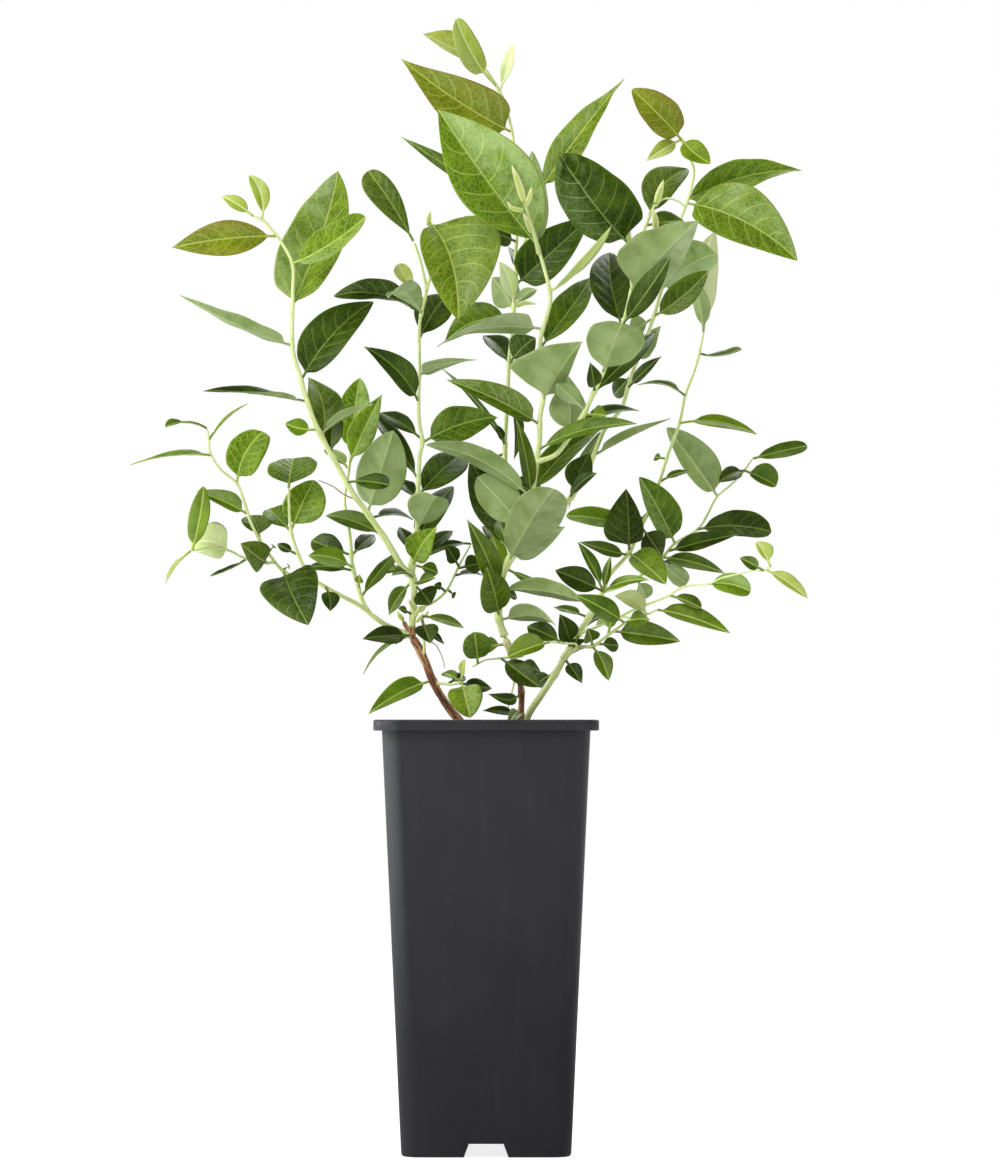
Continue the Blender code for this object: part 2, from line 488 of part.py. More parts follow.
def smooth_route(points, step):
    """Run a Catmull-Rom curve through points, with a point about every step."""
    p = np.asarray(points, float)
    ends = np.vstack([2 * p[0] - p[1], p, 2 * p[-1] - p[-2]])
    route = []
    for a, b, c, d in zip(ends, ends[1:], ends[2:], ends[3:]):
        count = max(1, int(round(np.linalg.norm(c - b) / step)))
        for t in np.arange(count) / count:
            route.append(0.5 * (2 * b + (c - a) * t + (2 * a - 5 * b + 4 * c - d) * t ** 2
                                + (3 * b - a - 3 * c + d) * t ** 3))
    route.append(p[-1])
    return np.array(route)


def nearest_seen(route, radii, x, z):
    """Point of a route that looks nearest to x, z (mm) from the front, and its radius."""
    along = np.linspace(0, len(route) - 1, 12 * len(route))
    fine = np.stack([np.interp(along, np.arange(len(route)), column)
                     for column in (*route.T, radii)], axis=1)
    ray = fine[:, :3] - EYE
    seen = EYE + ray * (-EYE[1] / ray[:, 1])[:, None]
    at = int(np.argmin(np.hypot(seen[:, 0] - x * MM,
                                seen[:, 2] - (z - TABLE_FLOOR) * MM)))
    return fine[at, :3], float(fine[at, 3])


def tube_distance(points, route, radii):
    """Smallest distance from points to the skin of a tapered tube."""
    a, b = route[:-1], route[1:]
    along = b - a
    t = np.einsum("psk,sk->ps", points[:, None] - a, along) / (along ** 2).sum(1)
    t = np.clip(t, 0.0, 1.0)
    near = a + t[..., None] * along
    radius = radii[:-1] + t * (radii[1:] - radii[:-1])
    return float((np.linalg.norm(points[:, None] - near, axis=2) - radius).min())


def leaf_axes(base, tip, roll):
    """Unit vectors along the blade, out of its face and across it, and its length."""
    along = tip - base
    length = float(np.linalg.norm(along))
    along = along / length
    front = np.array([0.0, -1.0, 0.0])
    front = front - front.dot(along) * along
    front /= np.linalg.norm(front)
    side = np.cross(front, along)
    if side[2] < 0.0:
        side = -side
    angle = math.radians(roll)
    face = math.cos(angle) * front + math.sin(angle) * side
    return along, face, np.cross(along, face), length


def blade_half_width(t, width):
    """Half the blade's width at t, from 0 at the base to 1 at the tip."""
    top = BLADE_RISE / (BLADE_RISE + BLADE_FALL)
    peak = top ** BLADE_RISE * (1 - top) ** BLADE_FALL
    inside = np.clip(t, 0, 1)
    return 0.5 * width * inside ** BLADE_RISE * (1 - inside) ** BLADE_FALL / peak


def blade_points(leaf, t, u, lift=0.0):
    """Points of the folded, arched blade at t along it and u (-1..1) across it."""
    along, face, across, length = leaf_axes(leaf.base, leaf.tip, leaf.roll)
    half = blade_half_width(t, leaf.width)
    rise = LEAF_ARCH * length * 4 * t * (1 - t) + np.abs(u) * half * math.sin(LEAF_FOLD) + lift
    reach = u * half * math.cos(LEAF_FOLD)
    return (leaf.base + np.multiply.outer(t * length, along)
            + np.multiply.outer(rise, face) + np.multiply.outer(reach, across))


def leaf_envelope(leaf):
    """Closed skin at the clearance distance around a blade, as a BVH tree."""
    _, _, _, length = leaf_axes(leaf.base, leaf.tip, leaf.roll)
    start = min(0.4, (leaf.radius + PETIOLE_LENGTH) / length)
    t = np.repeat(np.linspace(start, 1.0, 9), 3)
    u = np.tile([-1.0, 0.0, 1.0], 9)
    skins = np.concatenate([blade_points(leaf, t, u, CLEARANCE),
                            blade_points(leaf, t, u, -CLEARANCE)])
    faces = []
    for row in range(8):
        at = 3 * row
        for side in (0, 27):
            faces.append((side + at, side + at + 1, side + at + 4, side + at + 3))
            faces.append((side + at + 1, side + at + 2, side + at + 5, side + at + 4))
        faces.append((at, at + 27, at + 30, at + 3))
        faces.append((at + 2, at + 29, at + 32, at + 5))
    faces.append((0, 1, 28, 27))
    faces.append((1, 2, 29, 28))
    return BVHTree.FromPolygons(skins.tolist(), faces), skins.min(0), skins.max(0)


def stem_envelope(route, radii):
    """Closed six-sided skin a little outside a stem, as a BVH tree."""
    ahead = np.gradient(route, axis=0)
    ahead /= np.linalg.norm(ahead, axis=1)[:, None]
    side = np.cross(ahead, [0.0, 1.0, 0.0])
    side /= np.linalg.norm(side, axis=1)[:, None]
    other = np.cross(ahead, side)
    angle = np.arange(6) * math.pi / 3
    ring = (np.cos(angle)[:, None] * side[:, None] + np.sin(angle)[:, None] * other[:, None])
    skin = (route[:, None] + ring * (radii[:, None, None] * 1.15 + 0.0004)).reshape(-1, 3)
    faces = [(6 * i + k, 6 * i + (k + 1) % 6, 6 * i + 6 + (k + 1) % 6, 6 * i + 6 + k)
             for i in range(len(route) - 1) for k in range(6)]
    return BVHTree.FromPolygons(skin.tolist(), faces), skin.min(0), skin.max(0)


def crossings(shape, others):
    """Number of the other skins that a skin cuts."""
    tree, low, high = shape
    return sum(1 for other, o_low, o_high in others
               if (low < o_high).all() and (o_low < high).all() and tree.overlap(other))


def settle_leaves(leaves, routes, radii):
    """Swing each leaf in depth, and turn it a little, until it clears the rest.

    The largest leaves are placed first.  The place of each tip in the front view
    doesn't change.
    """
    placed = [stem_envelope(routes[name], radii[name]) for name in routes]
    swings = sorted(((3 * k, turn) for k in range(-14, 15) for turn in (0, -9, 9, -18, 18)),
                    key=lambda pair: (abs(pair[0]) / 3 + abs(pair[1]) / 6, pair))
    stuck = []
    for leaf in sorted(leaves, key=lambda item: -item.size):
        leaf.base, leaf.radius = nearest_seen(routes[leaf.stem], radii[leaf.stem], *leaf.attach)
        level, roll = leaf.base[1] / MM + leaf.depth, leaf.roll
        best = None
        for swing, turn in swings:
            leaf.tip = in_space(leaf.tip_seen[0], level + swing, leaf.tip_seen[1])
            leaf.roll = roll + turn
            shape = leaf_envelope(leaf)
            count = crossings(shape, placed)
            if best is None or count < best[0]:
                best = (count, leaf.tip, leaf.roll, shape)
            if count == 0:
                break
        _, leaf.tip, leaf.roll, shape = best
        placed.append(shape)
        if best[0]:
            stuck.append(leaf)
    return stuck


def make_material(name, colour, roughness):
    """A plain Principled material."""
    material = bpy.data.materials.new(name)
    material.use_nodes = True
    shader = material.node_tree.nodes["Principled BSDF"]
    shader.inputs["Base Color"].default_value = (*colour, 1.0)
    shader.inputs["Roughness"].default_value = roughness
    shader.inputs["Metallic"].default_value = 0.0
    return material


def link_mesh(name, mesh, collection, material=None):
    """Put a mesh in the scene as a new object of a collection."""
    item = bpy.data.objects.new(name, mesh)
    collection.objects.link(item)
    if material:
        mesh.materials.clear()
        mesh.materials.append(material)
    return item


def as_cutter(item):
    """Mark an object as a helper that only shapes other objects."""
    item.hide_render = True
    item.display_type = "WIRE"
    return item


def boolean(item, other, operation="DIFFERENCE"):
    """Cut an object by another one, or join the two."""
    modifier = item.modifiers.new(f"{operation.title()} {other.name}", "BOOLEAN")
    modifier.operation = operation
    modifier.solver = "EXACT"
    modifier.object = other
    return modifier


def rounded_block(name, collection, bottom, top, low, high, corner, foot=0.0):
    """Square tapered block with rounded upright corners.

    bottom and top are side lengths, low and high are heights, foot rounds the
    lower edge.
    """
    bm = bmesh.new()
    bmesh.ops.create_cube(bm, size=1.0)
    for vert in bm.verts:
        side = top if vert.co.z > 0 else bottom
        vert.co.x *= side
        vert.co.y *= side
        vert.co.z = high if vert.co.z > 0 else low
    upright = [edge for edge in bm.edges
               if abs(edge.verts[0].co.z - edge.verts[1].co.z) > 1e-6]
    bmesh.ops.bevel(bm, geom=upright, offset=corner, segments=4, profile=0.5, affect="EDGES")
    if foot:
        lower = [edge for edge in bm.edges if all(v.co.z < low + 1e-6 for v in edge.verts)]
        bmesh.ops.bevel(bm, geom=lower, offset=foot, segments=1, profile=0.5, affect="EDGES")
    mesh = bpy.data.meshes.new(name)
    bm.to_mesh(mesh)
    bm.free()
    return link_mesh(name, mesh, collection)


def channel_bar(name, collection, grow, along_y):
    """Bar with the cross-section of a drainage channel, run across the pot."""
    low = -0.002
    slope = (CHANNEL_WIDTH - CHANNEL_ROOF) / 2 / CHANNEL_HEIGHT
    wide = CHANNEL_WIDTH / 2 + grow * 1.1 - slope * low
    narrow = CHANNEL_ROOF / 2 + grow * 1.1 - slope * grow
    bm = bmesh.new()
    bmesh.ops.create_cube(bm, size=1.0)
    for vert in bm.verts:
        vert.co.x = math.copysign(narrow if vert.co.z > 0 else wide, vert.co.x)
        vert.co.y = math.copysign(0.07, vert.co.y)
        vert.co.z = CHANNEL_HEIGHT + grow if vert.co.z > 0 else low
    if not along_y:
        bmesh.ops.rotate(bm, verts=bm.verts, matrix=Matrix.Rotation(math.pi / 2, 3, "Z"))
    mesh = bpy.data.meshes.new(name)
    bm.to_mesh(mesh)
    bm.free()
    return as_cutter(link_mesh(name, mesh, collection))


def upright_rod(name, collection, x, y, low, high, radius, sides=12):
    """Upright cylinder between two heights."""
    bm = bmesh.new()
    bmesh.ops.create_cone(bm, cap_ends=True, segments=sides, radius1=radius, radius2=radius,
                          depth=high - low, matrix=Matrix.Translation((x, y, (low + high) / 2)))
    mesh = bpy.data.meshes.new(name)
    bm.to_mesh(mesh)
    bm.free()
    return as_cutter(link_mesh(name, mesh, collection))


def body_side(height, inset=0.0):
    """Side length of the pot's tapered body at a height."""
    return POT_BOTTOM + (POT_TOP - POT_BOTTOM) * height / POT_HEIGHT - 2 * inset


def build_pot(parts, cutters, material):
    """Thin-walled pot with a turned-down rim, a raised cross channel and drain holes."""
    pot = rounded_block("pot", parts, body_side(0), body_side(POT_HEIGHT), 0, POT_HEIGHT,
                        POT_CORNER, foot=0.0016)
    pot.data.materials.append(material)
    rim = as_cutter(rounded_block("rim_block", cutters, RIM_WIDTH - 0.0006, RIM_WIDTH,
                                  POT_HEIGHT - RIM_HEIGHT, POT_HEIGHT, RIM_CORNER))
    under = as_cutter(rounded_block("rim_hollow", cutters, RIM_WIDTH - 2 * RIM_SKIRT,
                                    RIM_WIDTH - 2 * RIM_SKIRT, POT_HEIGHT - RIM_HEIGHT - 0.002,
                                    POT_HEIGHT - POT_WALL, RIM_CORNER - RIM_SKIRT))
    boolean(rim, under)
    boolean(pot, rim, "UNION")
    inside = as_cutter(rounded_block("pot_inside", cutters, body_side(POT_WALL, POT_WALL),
                                     body_side(POT_HEIGHT + 0.002, POT_WALL), POT_WALL,
                                     POT_HEIGHT + 0.002, POT_CORNER - POT_WALL))
    boolean(inside, channel_bar("ridge_y", cutters, POT_WALL, True))
    boolean(inside, channel_bar("ridge_x", cutters, POT_WALL, False))
    boolean(pot, inside)
    boolean(pot, channel_bar("channel_y", cutters, 0.0, True))
    boolean(pot, channel_bar("channel_x", cutters, 0.0, False))
    holes = [(0.0, 0.0)]
    holes += [(x, y) for x, y in ((DRAIN_SPACING, 0), (-DRAIN_SPACING, 0),
                                  (0, DRAIN_SPACING), (0, -DRAIN_SPACING))]
    for index, (x, y) in enumerate(holes, 1):
        boolean(pot, upright_rod(f"drain_{index}", cutters, x, y, 0.004, 0.012, DRAIN_RADIUS))
    return pot


def build_soil(parts, cutters, material, cane_feet):
    """Block of potting mix that fits the pot, with a socket for each cane."""
    inset = POT_WALL + GAP
    soil = rounded_block("potting_soil", parts, body_side(POT_WALL + GAP, inset),
                         body_side(SOIL_TOP, inset), POT_WALL + GAP, SOIL_TOP,
                         POT_CORNER - inset)
    soil.data.materials.append(material)
    for along_y in (True, False):
        name = "soil_channel_y" if along_y else "soil_channel_x"
        boolean(soil, channel_bar(name, cutters, inset, along_y))
    for index, (x, y, radius) in enumerate(cane_feet, 1):
        boolean(soil, upright_rod(f"socket_{index}", cutters, x, y, SOIL_TOP - SOCKET_DEPTH - GAP,
                                  SOIL_TOP + 0.001, radius + GAP + 0.0002))
    return soil


def stem_tube(name, route, radii, collection):
    """Tapered round tube along a route, as a closed mesh object."""
    curve = bpy.data.curves.new(name, "CURVE")
    curve.dimensions = "3D"
    curve.bevel_depth = 1.0
    curve.bevel_resolution = TUBE_SIDES_STEP
    curve.use_fill_caps = True
    spline = curve.splines.new("POLY")
    spline.points.add(len(route) - 1)
    for point, place, radius in zip(spline.points, route, radii):
        point.co = (*place, 1.0)
        point.radius = radius
    guide = bpy.data.objects.new(name + "_route", curve)
    collection.objects.link(guide)
    shape = guide.evaluated_get(bpy.context.evaluated_depsgraph_get())
    mesh = bpy.data.meshes.new_from_object(shape)
    bpy.data.objects.remove(guide)
    bm = bmesh.new()
    bm.from_mesh(mesh)
    bmesh.ops.remove_doubles(bm, verts=bm.verts, dist=0.00002)
    bmesh.ops.recalc_face_normals(bm, faces=bm.faces)
    bm.to_mesh(mesh)
    bm.free()
    mesh.name = name
    return link_mesh(name, mesh, collection)


def leaf_mesh(name, leaf, start):
    """Loft of a leaf: square petiole from start, folded blade, pointed tip."""
    along, face, across, length = leaf_axes(leaf.base, leaf.tip, leaf.roll)
    rings = []
    for distance in (start, max(start + 0.001, leaf.radius + PETIOLE_LENGTH)):
        middle = leaf.base + along * distance
        rings.append([middle + across * PETIOLE_HALF, middle + face * PETIOLE_HALF,
                      middle - across * PETIOLE_HALF, middle - face * PETIOLE_HALF])
    for t in LEAF_ROWS:
        if t * length > start + PETIOLE_LENGTH:
            left, right = blade_points(leaf, np.array([t, t]), np.array([1.0, -1.0]))
            high, low = (blade_points(leaf, np.array([t]), np.array([0.0]), lift)[0]
                         for lift in (LEAF_THICKNESS / 2, -LEAF_THICKNESS / 2))
            rings.append([left, high, right, low])
    bm = bmesh.new()
    loops = [[bm.verts.new(point) for point in ring] for ring in rings]
    end = bm.verts.new(leaf.tip)
    for ring, following in zip(loops, loops[1:]):
        for k in range(4):
            bm.faces.new((ring[k], ring[(k + 1) % 4], following[(k + 1) % 4], following[k]))
    for k in range(4):
        bm.faces.new((loops[-1][k], loops[-1][(k + 1) % 4], end))
    bm.faces.new(loops[0])
    bmesh.ops.triangulate(bm, faces=bm.faces)
    bmesh.ops.recalc_face_normals(bm, faces=bm.faces)
    mesh = bpy.data.meshes.new(name)
    bm.to_mesh(mesh)
    bm.free()
    return mesh


def clear_start(route, radius, tubes):
    """Distance along a route at which its end is clear of the given tubes."""
    steps = np.concatenate([[0.0], np.cumsum(np.linalg.norm(np.diff(route, axis=0), axis=1))])
    for distance in np.arange(0.0, steps[-1], 0.0001):
        middle = np.array([np.interp(distance, steps, route[:, k]) for k in range(3)])
        ahead = np.array([np.interp(distance + 0.001, steps, route[:, k]) for k in range(3)])
        ahead = ahead - middle
        ahead /= np.linalg.norm(ahead)
        side = np.cross(ahead, [0.3, 1.0, 0.2])
        side /= np.linalg.norm(side)
        other = np.cross(ahead, side)
        angle = np.arange(12) * math.pi / 6
        ring = middle + radius * (np.cos(angle)[:, None] * side + np.sin(angle)[:, None] * other)
        if min(tube_distance(ring, *tube) for tube in tubes) >= GAP:
            return float(distance)
    return 0.0


def trimmed(route, radii, distance):
    """The route and its radii from a distance along it onwards."""
    steps = np.concatenate([[0.0], np.cumsum(np.linalg.norm(np.diff(route, axis=0), axis=1))])
    keep = steps > distance + 0.0015
    first = [np.interp(distance, steps, route[:, k]) for k in range(3)]
    return (np.vstack([first, route[keep]]),
            np.concatenate([[np.interp(distance, steps, radii)], radii[keep]]))


def build_bush(parts, cutters, bark, green, leaf_materials):
    """Shoots with their small leaves joined on, and the large leaves as pieces."""
    routes, radii = {}, {}
    for name, stem in STEMS.items():
        points = [in_space(*point) for point in stem.points]
        if stem.parent is None:
            points[0][2] = SOIL_TOP - SOCKET_DEPTH
        routes[name] = smooth_route(points, ROUTE_STEP)
        radii[name] = np.linspace(*stem.radii, len(routes[name]))
    leaves = [Leaf(name, index, row) for name, rows in LEAVES.items()
              for index, row in enumerate(rows, 1)]
    stuck = settle_leaves(leaves, routes, radii)
    shoot_of = {name: next(shoot for shoot, members in SHOOTS.items() if name in members)
                for name in STEMS}
    tubes = {shoot: [(routes[name], radii[name]) for name in members]
             for shoot, members in SHOOTS.items()}
    for shoot, members in SHOOTS.items():
        tube = None
        for name in members:
            route, width = routes[name], radii[name]
            if name == members[0] and STEMS[name].parent:
                distance = clear_start(route, width[0], tubes[shoot_of[STEMS[name].parent]])
                route, width = trimmed(route, width, distance)
            if tube is None:
                tube = stem_tube(shoot, route, width, parts)
                tube.data.materials.append(green if STEMS[name].parent else bark)
            else:
                boolean(tube, as_cutter(stem_tube(name, route, width, cutters)), "UNION")
    free = sorted((leaf for leaf in leaves if leaf not in stuck),
                  key=lambda leaf: -leaf.size)[:LEAF_NODES]
    for leaf in leaves:
        name = f"leaf_{leaf.stem}_{leaf.index:02d}"
        shoot = shoot_of[leaf.stem]
        if leaf in free:
            petiole = np.array([leaf.base, leaf.tip])
            start = clear_start(petiole, PETIOLE_HALF, tubes[shoot])
            link_mesh(name, leaf_mesh(name, leaf, start), parts, leaf_materials[leaf.tone])
        else:
            item = as_cutter(link_mesh(name, leaf_mesh(name, leaf, 0.0), cutters))
            boolean(bpy.data.objects[shoot], item, "UNION")
    return [(routes[name][0][0], routes[name][0][1], radii[name][0])
            for name in STEMS if STEMS[name].parent is None]


def main():
    """Build the whole object."""
    for item in list(bpy.data.objects):
        bpy.data.objects.remove(item)
    parts = bpy.data.collections.new("potted_blueberry_bush")
    cutters = bpy.data.collections.new("cutters")
    bpy.context.scene.collection.children.link(parts)
    bpy.context.scene.collection.children.link(cutters)
    plastic = make_material("charcoal_plastic", (0.025, 0.027, 0.03), 0.45)
    mix = make_material("potting_mix", (0.035, 0.02, 0.012), 0.95)
    bark = make_material("cane_bark", (0.12, 0.045, 0.02), 0.7)
    green = make_material("green_stem", (0.45, 0.58, 0.16), 0.5)
    leaf_materials = {name: make_material("leaf_" + name, colour, 0.4)
                      for name, colour in LEAF_COLOURS.items()}
    cane_feet = build_bush(parts, cutters, bark, green, leaf_materials)
    build_pot(parts, cutters, plastic)
    build_soil(parts, cutters, mix, cane_feet)


main()
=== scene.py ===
"""Potted blueberry bush: fine surfaces and finishes around the fixed frame.

Every piece lies in the frame's own space, in metres, +Z up, with the front of
the bush facing -Y.  Leaves and stems are listed as they are seen from the
front, together with their depth, and are carried to their true places by
in_space.
"""
from __future__ import annotations

import json
import logging
import math
from dataclasses import dataclass, field
from enum import Enum
from typing import Dict, Iterable, List, Optional, Sequence, Tuple

import bpy
import numpy as np
from mathutils.bvhtree import BVHTree
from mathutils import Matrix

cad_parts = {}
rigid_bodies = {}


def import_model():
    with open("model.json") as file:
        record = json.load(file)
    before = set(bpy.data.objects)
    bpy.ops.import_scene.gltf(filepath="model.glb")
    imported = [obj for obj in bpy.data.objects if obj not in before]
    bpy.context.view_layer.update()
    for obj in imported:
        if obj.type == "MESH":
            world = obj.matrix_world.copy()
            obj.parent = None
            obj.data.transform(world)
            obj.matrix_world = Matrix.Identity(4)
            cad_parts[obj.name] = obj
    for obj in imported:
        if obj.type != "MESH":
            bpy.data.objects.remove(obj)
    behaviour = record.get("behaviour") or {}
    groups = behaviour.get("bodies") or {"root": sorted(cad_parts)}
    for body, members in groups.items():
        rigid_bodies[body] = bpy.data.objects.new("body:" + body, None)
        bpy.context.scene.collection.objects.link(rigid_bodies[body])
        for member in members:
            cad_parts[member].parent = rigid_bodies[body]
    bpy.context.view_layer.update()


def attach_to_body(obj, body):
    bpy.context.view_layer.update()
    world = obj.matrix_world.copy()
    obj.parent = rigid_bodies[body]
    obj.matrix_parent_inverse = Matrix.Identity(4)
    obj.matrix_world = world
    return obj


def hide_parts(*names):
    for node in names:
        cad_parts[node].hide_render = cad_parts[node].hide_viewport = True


LOG = logging.getLogger("blueberry")
MM = 0.001
EYE = np.array([0.0067, -2.5, 0.2141])   # where the bush is looked at from, in metres
TABLE_FLOOR = 3.9                        # height of the floor in the tables below, in mm
BODY = "root"
TINY = 1e-9                              # guards divisions and comparisons
FINENESS = 12                            # places looked at for each point of a route
WAVES = 5                                # waves added together in each octave of noise
TILTED = (0.12, 0.98, 0.16)              # a direction that no stem runs along
TURNED = [0, 3, 2, 1]                    # order of a face's corners that turns it over

Array = np.ndarray
Colour = Tuple[float, float, float]
Skin = Tuple[BVHTree, Array, Array]
Socket = bpy.types.NodeSocket
Material = bpy.types.Material
Object = bpy.types.Object


class Tone(Enum):
    """Kinds of leaf, told apart by age and by the face that shows."""

    BRIGHT = "bright"
    MID = "mid"
    DARK = "dark"
    LIME = "lime"
    PALE = "pale"
    OLIVE = "olive"
    YOUNG = "young"
    UNDER = "under"


@dataclass(frozen=True)
class StemPlan:
    """One stem as planned: parent, radii in mm, front-view route and length of bark in m."""

    parent: Optional[str]
    start_radius: float
    end_radius: float
    points: Tuple[Tuple[float, float, float], ...]
    bark: float = 0.0


